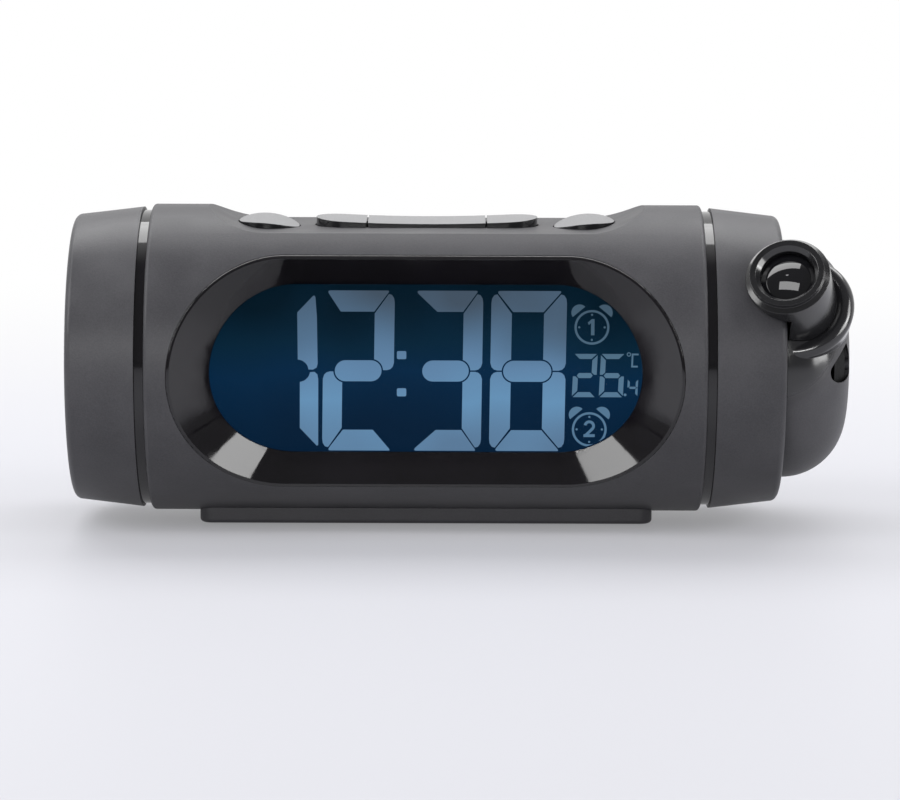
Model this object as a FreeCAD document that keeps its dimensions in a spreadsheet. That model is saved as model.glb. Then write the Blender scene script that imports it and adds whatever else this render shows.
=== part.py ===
"""Projection alarm clock: a round body lying on a foot, with a turning projector pod on its right end.

Millimetres. X runs along the body, the display faces -Y, and Z is up from the table. The origin is the
middle of the foot's rubber pad, on the table. Every piece is drawn about the axis of the round body and
then lifted by axis_height.
"""
import FreeCAD
import Part
import math
import os
import re
import Sketcher

Vector = FreeCAD.Vector
doc = FreeCAD.newDocument("projection_alarm_clock")
sheet = doc.addObject("Spreadsheet::Sheet", "sizes")
NODES = []

SIZES = {
    # The round body and what closes its ends
    "axis_height": 40.4,  # table to the axis of the round body
    "body_radius": 38,  # outside of the casing
    "body_half": 67.8,  # middle of the casing to its end
    "casing_wall": 2,  # wall of the casing
    "casing_round": 0.9,  # rounding of the casing's end edges
    "split_depth": 6.8,  # plane where front and rear casing meet, behind the axis
    "ring_width": 2.35,  # gloss ring between casing and end cap
    "ring_radius": 36.5,  # outside of the gloss ring
    "ring_lip": 1.2,  # centring lips of the ring, length and thickness
    "cap_length": 16.9,  # end cap along the axis
    "cap_big_radius": 37.3,  # end cap at the ring
    "cap_small_radius": 35.4,  # end cap at its outer face
    "cap_round": 1.8,  # rounding of the cap's outer edge
    "cap_wall": 2.2,  # wall of the end cap
    "end_wall_bore": 28.6,  # opening in the casing's end walls
    "gap": 0.3,  # general clearance between pieces
    "fit_gap": 0.08,  # radial clearance of a turning or sliding fit
    # The flat on top and its keys
    "flat_height": 33,  # axis to the flat on top
    "flat_half": 39,  # middle to where the ramps start
    "ramp_radius": 24.5,  # concave ramps at the ends of the flat
    "key_travel": 0.8,  # how far a top key goes down
    "key_gap": 0.35,  # clearance round a top key
    "round_key_place": 38.9,  # middle to a round key
    "round_key_radius": 7.4,  # round key
    "round_key_depth": -1.5,  # round key's centre behind the axis
    "round_key_rise": 1.75,  # round key's middle above the flat
    "round_key_crown": 26,  # crown radius of the round key's top
    "round_key_lean": 5.2,  # lean of the round key's top towards the middle, degrees
    "bar_half": 27.4,  # half length of the three keys in a row
    "bar_depth": 14.6,  # depth of the row
    "bar_centre": 1.9,  # centre of the row behind the axis
    "bar_rise": 1.07,  # row's middle above the flat at the front
    "bar_split": 14.7,  # middle to the joints between the three keys
    "bar_joint": 0.4,  # width of the joints between the three keys
    "bar_dish": 417,  # radius of the dished top along the row
    "bar_tilt": 1.8,  # the row's top rises to the rear, degrees
    "round_key_tilt": 4.3,  # a round key's top rises to the rear, degrees
    "key_flange": 1.6,  # width of the lip that keeps a key in
    "key_lip": 1.1,  # thickness of that lip
    "key_stem": 1.6,  # radius of the stem under a key
    # The display
    "bezel_half": 62.3,  # bezel outline at the casing's surface, half length
    "bezel_rise": 28.3,  # bezel outline at the casing's surface, half height
    "bezel_land": 0.7,  # narrow edge round the bezel's funnel
    "lip_radius": 29.4,  # the bezel's inner edge lies on a cylinder of this radius
    "lip_half": 53.2,  # bezel's inner edge, half length
    "lip_rise": 21.2,  # bezel's inner edge, half height
    "bezel_wall": 1.8,  # wall of the bezel's funnel
    "bezel_back": 27.6,  # back of the bezel, from the axis
    "bezel_flange": 1.9,  # flange of the bezel behind the casing wall
    "window_wall": 1,  # thickness of the clear window
    "window_border": 1.1,  # how far the window reaches behind the lip
    "glass_half": 53.4,  # half length of the display glass
    "glass_rise": 20.8,  # half height of the display glass
    "glass_front": 17.5,  # axis to the front of the display glass
    "glass_thick": 2.1,  # display glass
    "guide_thick": 3,  # light guide behind the glass
    "frame_half": 55.2,  # half length of the display frame
    "frame_rise": 22,  # half height of the display frame
    "frame_depth": 4.8,  # depth of the display frame
    "board_thick": 1.6,  # circuit boards
    "board_half": 56,  # half length of the main board
    "board_rise": 22.8,  # half height of the main board
    # Boards, switches and screws
    "key_board_half": 49,  # half length of the key board
    "key_board_front": 11,  # key board in front of the axis
    "key_board_rear": 14.6,  # key board behind the axis
    "key_board_top": 25,  # axis to the top of the key board
    "switch_size": 6,  # side of a key switch
    "switch_tall": 2.6,  # height of a key switch without its plunger
    "plunger_radius": 1.5,  # plunger of a key switch
    "switch_reach": 0.15,  # rest gap between stem and plunger beyond the key's travel
    "post_place": 61.4,  # middle to the screw posts
    "post_rise": 22.8,  # screw posts above and below the axis
    "post_radius": 3,  # front screw posts
    "screw_radius": 1.25,  # shank of a casing screw
    "screw_head": 2.5,  # radius of a screw head
    "screw_head_tall": 1.8,  # height of a screw head
    "screw_bite": 8,  # how far a casing screw goes into its post
    "rear_seat": 6,  # length of the rear post from the split to the screw head
    "cap_screw_circle": 32.6,  # circle of the screws that hold an end cap
    "cap_screw_long": 9,  # length of those screws
    # The foot
    "foot_half": 56,  # half length of the foot
    "foot_front": 12,  # foot in front of the axis
    "foot_rear": 20,  # foot behind the axis
    "foot_round": 1,  # rounding of the foot's lower edges
    "foot_corner": 3,  # rounding of the foot's upright corners
    "pad_half": 50,  # half length of the rubber pad
    "pad_border": 4,  # foot's edge to the rubber pad
    "pad_thick": 1.2,  # rubber pad
    "pad_proud": 0.4,  # how far the pad stands below the foot
    "foot_screw_place": 36,  # middle to the foot's screws
    "foot_screw_depth": 13,  # foot's screws behind the axis
    "clip_low": 51,  # middle to the near side of the board clips
    "clip_high": 55,  # middle to the far side of the board clips
    "clip_grip": 1.8,  # clips reach over the board's edge
    "support_place": 20,  # middle to the key board's supports
    "support_radius": 1.6,  # key board's supports
    "support_front": 8.8,  # front supports in front of the axis
    "support_rear": 12.6,  # rear supports behind the axis
    # The rear: batteries, keys, inlet and speaker
    "battery_tilt": 25,  # battery well points this far below level, degrees
    "well_half": 25,  # half length of the battery well
    "well_rise": 11.5,  # half height of the battery well
    "well_floor": 22.6,  # axis to the floor of the battery well
    "well_wall": 1.4,  # wall of the battery well
    "ledge": 2.6,  # ledge under the battery cover
    "cover_wall": 2.1,  # battery cover
    "cell_radius": 5.2,  # battery cell
    "cell_long": 44,  # battery cell
    "rear_key_tilt": 30,  # rear keys point this far above level, degrees
    "rear_key_pitch": 14,  # spacing of the rear keys
    "rear_key_radius": 3.1,  # rear key
    "rear_key_proud": 0.8,  # rear key beyond the casing
    "rear_key_travel": 0.5,  # how far a rear key goes in
    "rear_board_place": 26.6,  # axis to the rear key board's outer face
    "inlet_tilt": -8,  # power inlet above level, degrees
    "inlet_place": 46,  # middle to the power inlet
    "inlet_bore": 2.85,  # bore of the power inlet
    "inlet_pin": 1,  # pin of the power inlet
    "inlet_depth": 9.5,  # depth of the power inlet
    "inlet_radius": 4.2,  # barrel of the power inlet
    "speaker_place": 45,  # middle to the speaker
    "speaker_radius": 12.5,  # speaker
    "speaker_front": 33,  # axis to the speaker's front
    "grille_slot": 1.4,  # width of a speaker slot
    "grille_pitch": 3.4,  # spacing of the speaker slots
    # The projector pod
    "pod_gap": 0.35,  # running gap between cap and pod
    "pod_radius": 29.5,  # outside of the pod
    "pod_corner": 15.6,  # rounding of the pod's outer end
    "pod_end": 104.7,  # middle of the body to the end of the pod
    "pod_crown": 0.86,  # crown of the pod's end face
    "lens_crown": 1.8,  # crown of the projection lens
    "condenser_crown": 0.6,  # crown of the condenser lens
    "lamp_crown": 2,  # crown of the projector lamp
    "pod_wall": 2,  # wall of the pod
    "base_thick": 2.2,  # plate that closes the pod towards the cap
    "hub_radius": 9,  # hub that turns in the cap
    "hub_bore": 6.2,  # wire way through the hub
    "sleeve_wall": 2.4,  # wall of the bearing sleeve in the cap
    "sleeve_long": 7,  # bearing sleeve behind the cap's face
    "hub_tail": 3.2,  # hub beyond the sleeve
    "spring_thick": 0.8,  # friction washer
    "retainer_thick": 1,  # retaining ring in the hub's groove
    "retainer_radius": 12,  # outside of the retaining ring
    "groove_deep": 0.8,  # depth of the hub's groove
    "stop_circle": 20,  # axis to the stop pin
    "stop_pin": 1.5,  # radius of the stop pin
    "stop_deep": 1.2,  # length of the stop pin
    "head_place": 95.5,  # middle of the body to the head's axis on the body's axis
    "head_lift": 36.8,  # head above level in front at rest, degrees
    "head_lean": 12,  # lean of the head towards the body, degrees
    "head_long": 43.5,  # body's axis to the front of the lens barrel
    "barrel_radius": 9,  # front of the lens barrel
    "barrel_step": 1.9,  # front of the barrel to its shoulder
    "shoulder_radius": 10.25,  # shoulder of the barrel
    "collar_root": 7.4,  # collar's cone on the body's axis
    "rim_radius": 2.2,  # rounding of the collar's rim
    "rim_reach": 14.1,  # head's axis to the outside of the rim
    "rim_place": 25.4,  # body's axis to the middle of the rim
    "mouth_radius": 10.5,  # inner edge of the rim
    "barrel_start": 22.6,  # body's axis to the wide part of the lens barrel
    "tail_radius": 8,  # rear part of the lens barrel
    "tail_place": 19,  # body's axis to the rear of the lens barrel
    "lens_radius": 6.6,  # visible lens
    "lens_sunk": 1.2,  # lens below the front of the barrel
    "focus_travel": 0.65,  # lens barrel each way when focusing
    "crank_reach": 2.8,  # focus wheel's axis to its crank pin
    "wheel_lift": 3.3,  # focus wheel above level in front at rest, degrees
    "wheel_place": 15,  # body's axis to the focus wheel's axis
    "wheel_sunk": 1.2,  # focus wheel below the pod's surface
    "wheel_inner": 99.3,  # middle of the body to the wheel's inner face
    "wheel_outer": 102.2,  # middle of the body to the wheel's outer face
    "wheel_pin": 1,  # crank pin of the focus wheel
    "wheel_post": 1.6,  # post that carries the focus wheel
    "window_place": 100.9,  # middle of the body to the round part of the focus window
    "window_round": 2.7,  # round part of the focus window
    "window_drop": 1.4,  # its centre below the wheel's centre line
    "window_tip": 6.8,  # its centre to the tip of the focus window
    "window_slant": 1.6,  # sideways shift of that tip
    "lamp_radius": 2.5,  # projector lamp
    "tube_radius": 3.4,  # lamp tube
    "tube_wide": 3.9,  # wide part of the lamp tube
}
for row, (name, number) in enumerate(SIZES.items(), 1):
    sheet.set("A%d" % row, str(number))
    sheet.setAlias("A%d" % row, name)
doc.recompute()

# Lengths that several pieces share, worked out from the sheet
CAP_START = "(body_half + ring_width)"
CAP_END = "(body_half + ring_width + cap_length)"
POD_START = "(body_half + ring_width + cap_length + pod_gap)"
POD_TURN = "(90 - head_lift)"
FOOT_BOTTOM = "(pad_proud - axis_height)"
KEY_ROOF = "(flat_height - casing_wall)"
PLUNGER_TOP = "(flat_height - casing_wall - 0.1 - key_lip - 0.5 - key_travel - switch_reach)"
REAR_LIP_TOP = "(body_radius - casing_wall - 0.6)"
REAR_PLUNGER = "(body_radius - casing_wall - 0.6 - key_lip - 0.5 - rear_key_travel - switch_reach)"
CORNER_PLACE = "(pod_end - pod_crown - pod_corner)"
CORNER_RISE = "(pod_radius - pod_corner)"
MOUTH = "(rim_place + sqrt(rim_radius^2 - (rim_reach - rim_radius - mouth_radius)^2))"
BOARD_FRONT = "(glass_thick - glass_front + frame_depth)"
WHEEL_Y = "(-wheel_place * sin(head_lift - wheel_lift))"
WHEEL_Z = "(wheel_place * cos(head_lift - wheel_lift))"


def bound(text):
    """The expression with every size looked up in the sheet."""
    return re.sub(r"[a-z_]+", lambda m: "sizes." + m.group(0) if m.group(0) in SIZES else m.group(0), text)


def number(text):
    """What an expression comes to now."""
    return float(sheet.evalExpression(text))


def tie(thing, prop, text):
    thing.setExpression(prop, bound(text))


def put(thing, x="0", y="0", z="0"):
    """Tie a thing's place to expressions."""
    for letter, text in (("x", x), ("y", y), ("z", z)):
        if text != "0":
            tie(thing, "Placement.Base." + letter, text)
    return thing


def box(name, x, y, z):
    """A box between low and high expressions along each axis."""
    made = doc.addObject("Part::Box", name)
    for prop, span in (("Length", x), ("Width", y), ("Height", z)):
        tie(made, prop, "(%s) - (%s)" % (span[1], span[0]))
    return put(made, x[0], y[0], z[0])


def rod(name, radius, start, long, along=(0, 0, 1), cone=None):
    """A cylinder, or a cone, that runs from a point for a length in a direction."""
    made = doc.addObject("Part::Cone" if cone else "Part::Cylinder", name)
    made.Placement = FreeCAD.Placement(Vector(), FreeCAD.Rotation(Vector(0, 0, 1), Vector(*along)))
    if cone:
        tie(made, "Radius1", radius)
        tie(made, "Radius2", cone)
    else:
        tie(made, "Radius", radius)
    tie(made, "Height", long)
    return put(made, *start)


def fuse(name, shapes):
    made = doc.addObject("Part::MultiFuse", name)
    made.Shapes = shapes
    return made


def cut(name, base, tools):
    made = doc.addObject("Part::Cut", name)
    made.Base = base
    made.Tool = tools[0] if len(tools) == 1 else fuse(name + "_tools", tools)
    return made


def common(name, first, second):
    made = doc.addObject("Part::Common", name)
    made.Base = first
    made.Tool = second
    return made


def group(name, shapes):
    """Separate solids that make one node."""
    made = doc.addObject("Part::Compound", name)
    made.Links = shapes
    return made


def ring(name, outer, inner, start, long):
    """A tube along X from a start to a length."""
    outside = rod(name + "_outside", outer, (start, "0", "0"), long, (1, 0, 0))
    inside = rod(name + "_inside", inner, (start, "0", "0"), long, (1, 0, 0))
    return cut(name, outside, [inside])


def turn(thing, angle):
    """Turn a thing about the body's axis, in degrees from the drawing's frame."""
    made = group(thing.Name + "_turned", [thing])
    made.Placement = FreeCAD.Placement(Vector(), FreeCAD.Rotation(Vector(1, 0, 0), number(angle)))
    tie(made, "Placement.Rotation.Angle", angle)
    return made


def lean(thing):
    """Set a thing drawn along Z on the head's axis, in the pod's frame."""
    thing.Placement = FreeCAD.Placement(Vector(), FreeCAD.Rotation(Vector(0, -1, 0), number("head_lean")))
    tie(thing, "Placement.Rotation.Angle", "head_lean")
    return put(thing, "head_place")


def node(thing, label, angle=None):
    """Make a thing a sub-part: name it, turn it if asked, and lift it to the body's axis."""
    if angle or thing.TypeId == "Part::Box":
        thing.Label = label + "_form"
        thing = turn(thing, angle) if angle else group(label + "_set", [thing])
    tie(thing, "Placement.Base.z", "axis_height")
    thing.Label = label
    NODES.append(thing)
    return thing


def sketch_in(body, plane, name):
    made = body.newObject("Sketcher::SketchObject", name)
    origin = [part for part in body.Origin.OriginFeatures if part.Role == plane][0]
    made.AttachmentSupport = (origin, [""])
    made.MapMode = "FlatFace"
    return made


def pin_point(sketch, edge, end, place):
    """Hold one end of an edge at a place given by two expressions."""
    for kind, text, axis in (("DistanceX", place[0], -2), ("DistanceY", place[1], -1)):
        if text == "0":
            sketch.addConstraint(Sketcher.Constraint("PointOnObject", edge, end, axis))
        else:
            held = sketch.addConstraint(Sketcher.Constraint(kind, -1, 1, edge, end, number(text)))
            sketch.setExpression("Constraints[%d]" % held, bound(text))


def trace(sketch, corners):
    """A closed outline through corners (x, y). A third entry makes the edge that leaves the corner an arc
    of that radius; it turns left, or right where the fourth entry says so."""
    points = [Vector(number(corner[0]), number(corner[1]), 0) for corner in corners]
    ends = []
    for index, corner in enumerate(corners):
        here = points[index]
        there = points[(index + 1) % len(points)]
        if len(corner) == 2:
            edge = sketch.addGeometry(Part.LineSegment(here, there))
            ends.append((edge, 1, 2))
            continue
        radius = number(corner[2])
        left = len(corner) == 3
        chord = there - here
        across = Vector(-chord.y, chord.x, 0).normalize()
        reach = math.sqrt(max(radius ** 2 - (chord.Length / 2) ** 2, 0))
        centre = here + chord * 0.5 + across * (reach if left else -reach)
        first, last = (here, there) if left else (there, here)
        start = math.atan2(first.y - centre.y, first.x - centre.x)
        stop = math.atan2(last.y - centre.y, last.x - centre.x)
        if stop < start:
            stop += 2 * math.pi
        circle = Part.Circle(centre, Vector(0, 0, 1), radius)
        edge = sketch.addGeometry(Part.ArcOfCircle(circle, start, stop))
        ends.append((edge, 1, 2) if left else (edge, 2, 1))
        held = sketch.addConstraint(Sketcher.Constraint("Radius", edge, radius))
        sketch.setExpression("Constraints[%d]" % held, bound(corner[2]))
    for index, (edge, start, stop) in enumerate(ends):
        following = ends[(index + 1) % len(ends)]
        sketch.addConstraint(Sketcher.Constraint("Coincident", edge, stop, following[0], following[1]))
        pin_point(sketch, edge, start, corners[index])


def stadium(sketch, half, rise):
    """A slot outline about the sketch's origin, long along its first axis."""
    straight = "(%s) - (%s)" % (half, rise)
    reach = number(straight)
    radius = number(rise)
    right = sketch.addGeometry(Part.ArcOfCircle(Part.Circle(Vector(reach, 0, 0), Vector(0, 0, 1), radius),
                                                -math.pi / 2, math.pi / 2))
    left = sketch.addGeometry(Part.ArcOfCircle(Part.Circle(Vector(-reach, 0, 0), Vector(0, 0, 1), radius),
                                               math.pi / 2, 3 * math.pi / 2))
    upper = sketch.addGeometry(Part.LineSegment(Vector(reach, radius, 0), Vector(-reach, radius, 0)))
    lower = sketch.addGeometry(Part.LineSegment(Vector(-reach, -radius, 0), Vector(reach, -radius, 0)))
    sketch.addConstraint(Sketcher.Constraint("Tangent", right, 2, upper, 1))
    sketch.addConstraint(Sketcher.Constraint("Tangent", upper, 2, left, 1))
    sketch.addConstraint(Sketcher.Constraint("Tangent", left, 2, lower, 1))
    sketch.addConstraint(Sketcher.Constraint("Tangent", lower, 2, right, 1))
    pin_point(sketch, right, 3, (straight, "0"))
    pin_point(sketch, left, 3, ("-(%s)" % straight, "0"))
    held = sketch.addConstraint(Sketcher.Constraint("Radius", right, radius))
    sketch.setExpression("Constraints[%d]" % held, bound(rise))


def turned(name, corners, plane="XZ_Plane", axis="H_Axis"):
    """A body turned about an axis of its sketch plane."""
    body = doc.addObject("PartDesign::Body", name)
    profile = sketch_in(body, plane, name + "_profile")
    trace(profile, corners)
    made = body.newObject("PartDesign::Revolution", name + "_turning")
    made.Profile = profile
    made.ReferenceAxis = (profile, [axis])
    made.Angle = 360
    body.Tip = made
    return body


def padded(name, plane, long, corners=None, slot=None):
    """A body drawn on an origin plane and padded evenly to both sides of it."""
    body = doc.addObject("PartDesign::Body", name)
    outline = sketch_in(body, plane, name + "_outline")
    if slot:
        stadium(outline, *slot)
    else:
        trace(outline, corners)
    made = body.newObject("PartDesign::Pad", name + "_pad")
    made.Profile = outline
    made.Midplane = True
    tie(made, "Length", long)
    body.Tip = made
    return body


def round_edges(body, radius, choose):
    """Fillet the edges of a body's tip that a test picks."""
    doc.recompute()
    tip = body.Tip
    names = ["Edge%d" % (index + 1) for index, edge in enumerate(tip.Shape.Edges) if choose(edge)]
    made = body.newObject("PartDesign::Fillet", body.Name + "_rounding")
    made.Base = (tip, names)
    tie(made, "Radius", radius)
    body.Tip = made
    return body


# The casing: one hollow form, parted into a front and a rear half
def recess_outline(drop, top):
    """The flat and its two ramps, drop below the outside, closed above the body."""
    flat = "(flat_height - (%s))" % drop
    radius = "(ramp_radius + (%s))" % drop
    run = "sqrt(%s^2 - (%s - (%s - %s))^2)" % (radius, radius, top, flat)
    side = "(flat_half + %s)" % run
    return [("-flat_half", flat), ("flat_half", flat, radius), (side, top), (side, "2 * body_radius"),
            ("-%s" % side, "2 * body_radius"), ("-%s" % side, top, radius)]


def round_form(name, radius, half, edge, drop):
    """The body's round form with the flat on its top taken away."""
    form = turned(name, [("-(%s)" % half, "0"), (half, "0"), (half, "(%s) - (%s)" % (radius, edge), edge),
                         ("(%s) - (%s)" % (half, edge), radius), ("-((%s) - (%s))" % (half, edge), radius, edge),
                         ("-(%s)" % half, "(%s) - (%s)" % (radius, edge))])
    outline = sketch_in(form, "XZ_Plane", name + "_flat")
    trace(outline, recess_outline(drop, "(body_radius + 1)"))
    doc.recompute()
    flat = form.newObject("PartDesign::Pocket", name + "_recess")
    flat.Profile = outline
    flat.Midplane = True
    tie(flat, "Length", "4 * body_radius")
    form.Tip = flat
    return form


outside = round_form("casing_outside", "body_radius", "body_half", "casing_round", "0")
inside = round_form("casing_inside", "body_radius - casing_wall", "body_half - casing_wall", "casing_round",
                    "casing_wall")
end_openings = rod("end_openings", "end_wall_bore", ("-body_half - 1", "0", "0"), "2 * body_half + 2", (1, 0, 0))


def casing_part(name, y):
    """The hollow casing between two depths."""
    shell = cut(name + "_shell", outside, [inside, end_openings])
    half = box(name + "_half", ("-body_half - 1", "body_half + 1"), y, ("-body_radius - 1", "body_radius + 1"))
    return common(name + "_blank", shell, half)


def each_corner(name, make):
    """The four screw places, one in each corner of the casing seen from the front."""
    return [make("%s_%d" % (name, index), x, z) for index, (x, z) in enumerate(
        [("post_place", "post_rise"), ("-post_place", "post_rise"),
         ("post_place", "-post_rise"), ("-post_place", "-post_rise")])]


def cap_screw_places():
    """Three screw places round each end: down, and up to each side."""
    places = []
    for angle in (270, 20, 160):
        cosine = "cap_screw_circle * %.6f" % math.cos(math.radians(angle))
        sine = "cap_screw_circle * %.6f" % math.sin(math.radians(angle))
        places.append((cosine, sine))
    return places


def key_holes(name):
    """Room for the five keys through the top of the casing."""
    holes = []
    for side, sign in (("left", "-"), ("right", "")):
        holes.append(rod("%s_%s" % (name, side), "round_key_radius + key_gap",
                         (sign + "round_key_place", "round_key_depth", "key_board_top"), "body_radius"))
    row = padded(name + "_row", "XY_Plane", "2 * body_radius",
                 slot=("bar_half + key_gap", "bar_depth / 2 + key_gap"))
    put(row, "0", "bar_centre", "body_radius + key_board_top")
    holes.append(row)
    return holes


def cap_screw_holes(name):
    holes = []
    for index, (y, z) in enumerate(cap_screw_places()):
        holes.append(rod("%s_%d" % (name, index), "screw_radius + gap", ("-body_half - 1", y, z),
                         "2 * body_half + 2", (1, 0, 0)))
    return holes


def key_board_supports(name, y):
    return [rod("%s_support_%d" % (name, index), "support_radius", (x, y, "key_board_top"), "body_radius")
            for index, x in enumerate(["support_place", "-support_place"])]


def front_casing():
    blank = casing_part("front", ("-body_radius - 1", "split_depth"))
    posts = each_corner("front_post", lambda name, x, z: rod(
        name, "post_radius", (x, "-body_radius", z), "body_radius + split_depth", (0, 1, 0)))
    supports = key_board_supports("front", "-support_front")
    clips = []
    for index, (low, high) in enumerate([("clip_low", "clip_high"), ("-clip_high", "-clip_low")]):
        for bottom, top in (("board_rise - clip_grip", "body_radius"), ("-body_radius", "clip_grip - board_rise")):
            clips.append(box("board_clip_%d" % len(clips), (low, high),
                             (BOARD_FRONT, BOARD_FRONT + " + 2 * board_thick"), (bottom, top)))
    inner = common("front_inner", fuse("front_posts", posts + supports + clips), outside)
    solid = fuse("front_solid", [blank, inner])
    pilots = each_corner("front_pilot", lambda name, x, z: rod(
        name, "screw_radius", (x, "split_depth - screw_bite - 2", z), "screw_bite + 3", (0, 1, 0)))
    pilots.append(box("board_room", ("-board_half - 0.1", "board_half + 0.1"),
                      (BOARD_FRONT + " - 0.05", BOARD_FRONT + " + board_thick + 0.05"),
                      ("-board_rise - 0.05", "board_rise + 0.05")))
    opening = padded("bezel_opening", "XZ_Plane", "body_radius",
                     slot=("bezel_half + 0.1", "bezel_rise + 0.1"))
    put(opening, "0", "-body_radius")
    node(cut("front_casing", solid, pilots + [opening] + key_holes("front_keys")
             + cap_screw_holes("front_cap_hole")), "front_casing")


def well_box(name, long, rise, y):
    return box(name, ("-(%s)" % long, long), y, ("-(%s)" % rise, rise))


def rear_casing():
    blank = casing_part("rear", ("split_depth", "body_radius + 1"))
    posts = each_corner("rear_post", lambda name, x, z: rod(
        name, "screw_head + gap + 1.2", (x, "split_depth", z), "body_radius", (0, 1, 0)))
    walls = well_box("well_walls", "well_half + well_wall", "well_rise + well_wall",
                     ("well_floor - well_wall", "body_radius"))
    ledge_block = well_box("ledge_block", "well_half + ledge + gap + well_wall",
                           "well_rise + ledge + gap + well_wall", ("well_floor", "body_radius"))
    ledge_ring = ring("ledge_ring", "body_radius", "body_radius - casing_wall - well_wall - gap - 0.1",
                      "-body_half", "2 * body_half")
    well = turn(fuse("battery_well", [walls, common("ledge_frame", ledge_block, ledge_ring)]), "-battery_tilt")
    board_posts = [rod("rear_board_post_%d" % index, "1.7", (x, "rear_board_place", "0"), "body_radius", (0, 1, 0))
                   for index, x in enumerate(["2 * rear_key_pitch - 0.5", "-2 * rear_key_pitch + 0.5"])]
    board_posts = turn(fuse("rear_board_posts", board_posts), "rear_key_tilt")
    collar = cut("speaker_collar", rod("speaker_collar_outside", "speaker_radius + gap + 1.2",
                 ("-speaker_place", "speaker_front - 4", "0"), "body_radius", (0, 1, 0)),
                 [rod("speaker_collar_inside", "speaker_radius + gap", ("-speaker_place", "speaker_front - 5", "0"),
                      "2 * body_radius", (0, 1, 0))])
    supports = key_board_supports("rear", "support_rear")
    bosses = [rod("foot_boss_%d" % index, "post_radius", (x, "foot_screw_depth", "-body_radius"), "10")
              for index, x in enumerate(["foot_screw_place", "-foot_screw_place"])]
    inner = common("rear_inner", fuse("rear_details", posts + supports + bosses + [well, board_posts, collar]),
                   outside)
    solid = fuse("rear_solid", [blank, inner])

    tools = each_corner("rear_hole", lambda name, x, z: rod(
        name, "screw_radius + 0.25", (x, "split_depth - 1", z), "body_radius", (0, 1, 0)))
    tools += each_corner("rear_sink", lambda name, x, z: rod(
        name, "screw_head + gap", (x, "split_depth + rear_seat", z), "body_radius", (0, 1, 0)))
    tools += [rod("foot_pilot_%d" % index, "screw_radius", (x, "foot_screw_depth", "-body_radius - 1"), "10")
              for index, x in enumerate(["foot_screw_place", "-foot_screw_place"])]
    hollow = well_box("well_hollow", "well_half", "well_rise", ("well_floor", "2 * body_radius"))
    pocket = common("cover_pocket", well_box("pocket_box", "well_half + ledge + gap", "well_rise + ledge + gap",
                                             ("well_floor", "2 * body_radius")),
                    ring("pocket_ring", "2 * body_radius", "body_radius - cover_wall - gap", "-body_half",
                         "2 * body_half"))
    slots = [box("tongue_slot_%d" % index, (low, high),
                 ("body_radius - cover_wall - 5.8", "body_radius - cover_wall - 2.6"),
                 ("-well_rise - ledge - 2.6", "-well_rise"))
             for index, (low, high) in enumerate([("13.7", "20.3"), ("-20.3", "-13.7")])]
    tools.append(turn(fuse("well_cut", [hollow, pocket] + slots), "-battery_tilt"))
    keys = [rod("rear_key_hole_%d" % index, "rear_key_radius + gap",
                ("rear_key_pitch * %.1f" % (index - 1.5), "rear_board_place + 6", "0"), "body_radius", (0, 1, 0))
            for index in range(4)]
    tools.append(turn(fuse("rear_key_holes", keys), "rear_key_tilt"))
    inlet = rod("inlet_hole", "inlet_radius + 0.1", ("inlet_place", "body_radius / 2", "0"), "body_radius", (0, 1, 0))
    tools.append(turn(inlet, "inlet_tilt"))
    slots = []
    for index in range(5):
        half = 9.5 - 1.3 * abs(index - 2)
        slots.append(box("grille_slot_%d" % index, ("-speaker_place - %.1f" % half, "-speaker_place + %.1f" % half),
                         ("speaker_front", "body_radius + 1"),
                         ("%d * grille_pitch - grille_slot / 2" % (index - 2),
                          "%d * grille_pitch + grille_slot / 2" % (index - 2))))
    tools += slots
    node(cut("rear_casing", solid, tools + key_holes("rear_keys") + cap_screw_holes("rear_cap_hole")),
         "rear_casing")


# The display: bezel, window, glass, light guide, frame and ribbon
def outline_at_depth(name, half, rise, inner_half, inner_rise, depth):
    """The funnel's outline where its straight rulings cross a plane at a depth. The rulings join the outer
    outline on the casing's surface to the inner outline on the lip's cylinder."""
    outer_radius = number("body_radius")
    inner_radius = number("lip_radius")

    def ruled(outer, inner):
        outer = Vector(outer[0], -math.sqrt(outer_radius ** 2 - outer[1] ** 2), outer[1])
        inner = Vector(inner[0], -math.sqrt(inner_radius ** 2 - inner[1] ** 2), inner[1])
        share = (depth - inner.y) / (outer.y - inner.y)
        return inner + (outer - inner) * share

    def end(sign):
        angles = [math.radians(90 - 15 * step) for step in range(13)]
        if sign < 0:
            angles = [math.radians(-90 - 15 * step) for step in range(13)]
        return [ruled((sign * (half - rise) + rise * math.cos(angle), rise * math.sin(angle)),
                      (sign * (inner_half - inner_rise) + inner_rise * math.cos(angle),
                       inner_rise * math.sin(angle))) for angle in angles]

    edges = []
    ends = [end(1), end(-1)]
    for index, points in enumerate(ends):
        curve = Part.BSplineCurve()
        curve.interpolate(Points=points, Parameters=[float(step) for step in range(len(points))])
        edges.append(curve.toShape())
        edges.append(Part.LineSegment(points[-1], ends[1 - index][0]).toShape())
    made = doc.addObject("Part::Feature", name)
    made.Shape = Part.Wire(edges)
    return made


def funnel(name, grow, inner_grow):
    """The racetrack funnel as a solid that runs through the body's surface and on inwards."""
    half = number("bezel_half") + grow
    rise = number("bezel_rise") + grow
    inner_half = number("lip_half") + inner_grow
    inner_rise = number("lip_rise") + inner_grow
    front = outline_at_depth(name + "_front", half, rise, inner_half, inner_rise, -number("body_radius") - 3)
    back = outline_at_depth(name + "_back", half, rise, inner_half, inner_rise, -number("glass_front") + 3.5)
    made = doc.addObject("Part::Loft", name)
    made.Sections = [front, back]
    made.Solid = True
    made.Ruled = True
    return made


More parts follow.
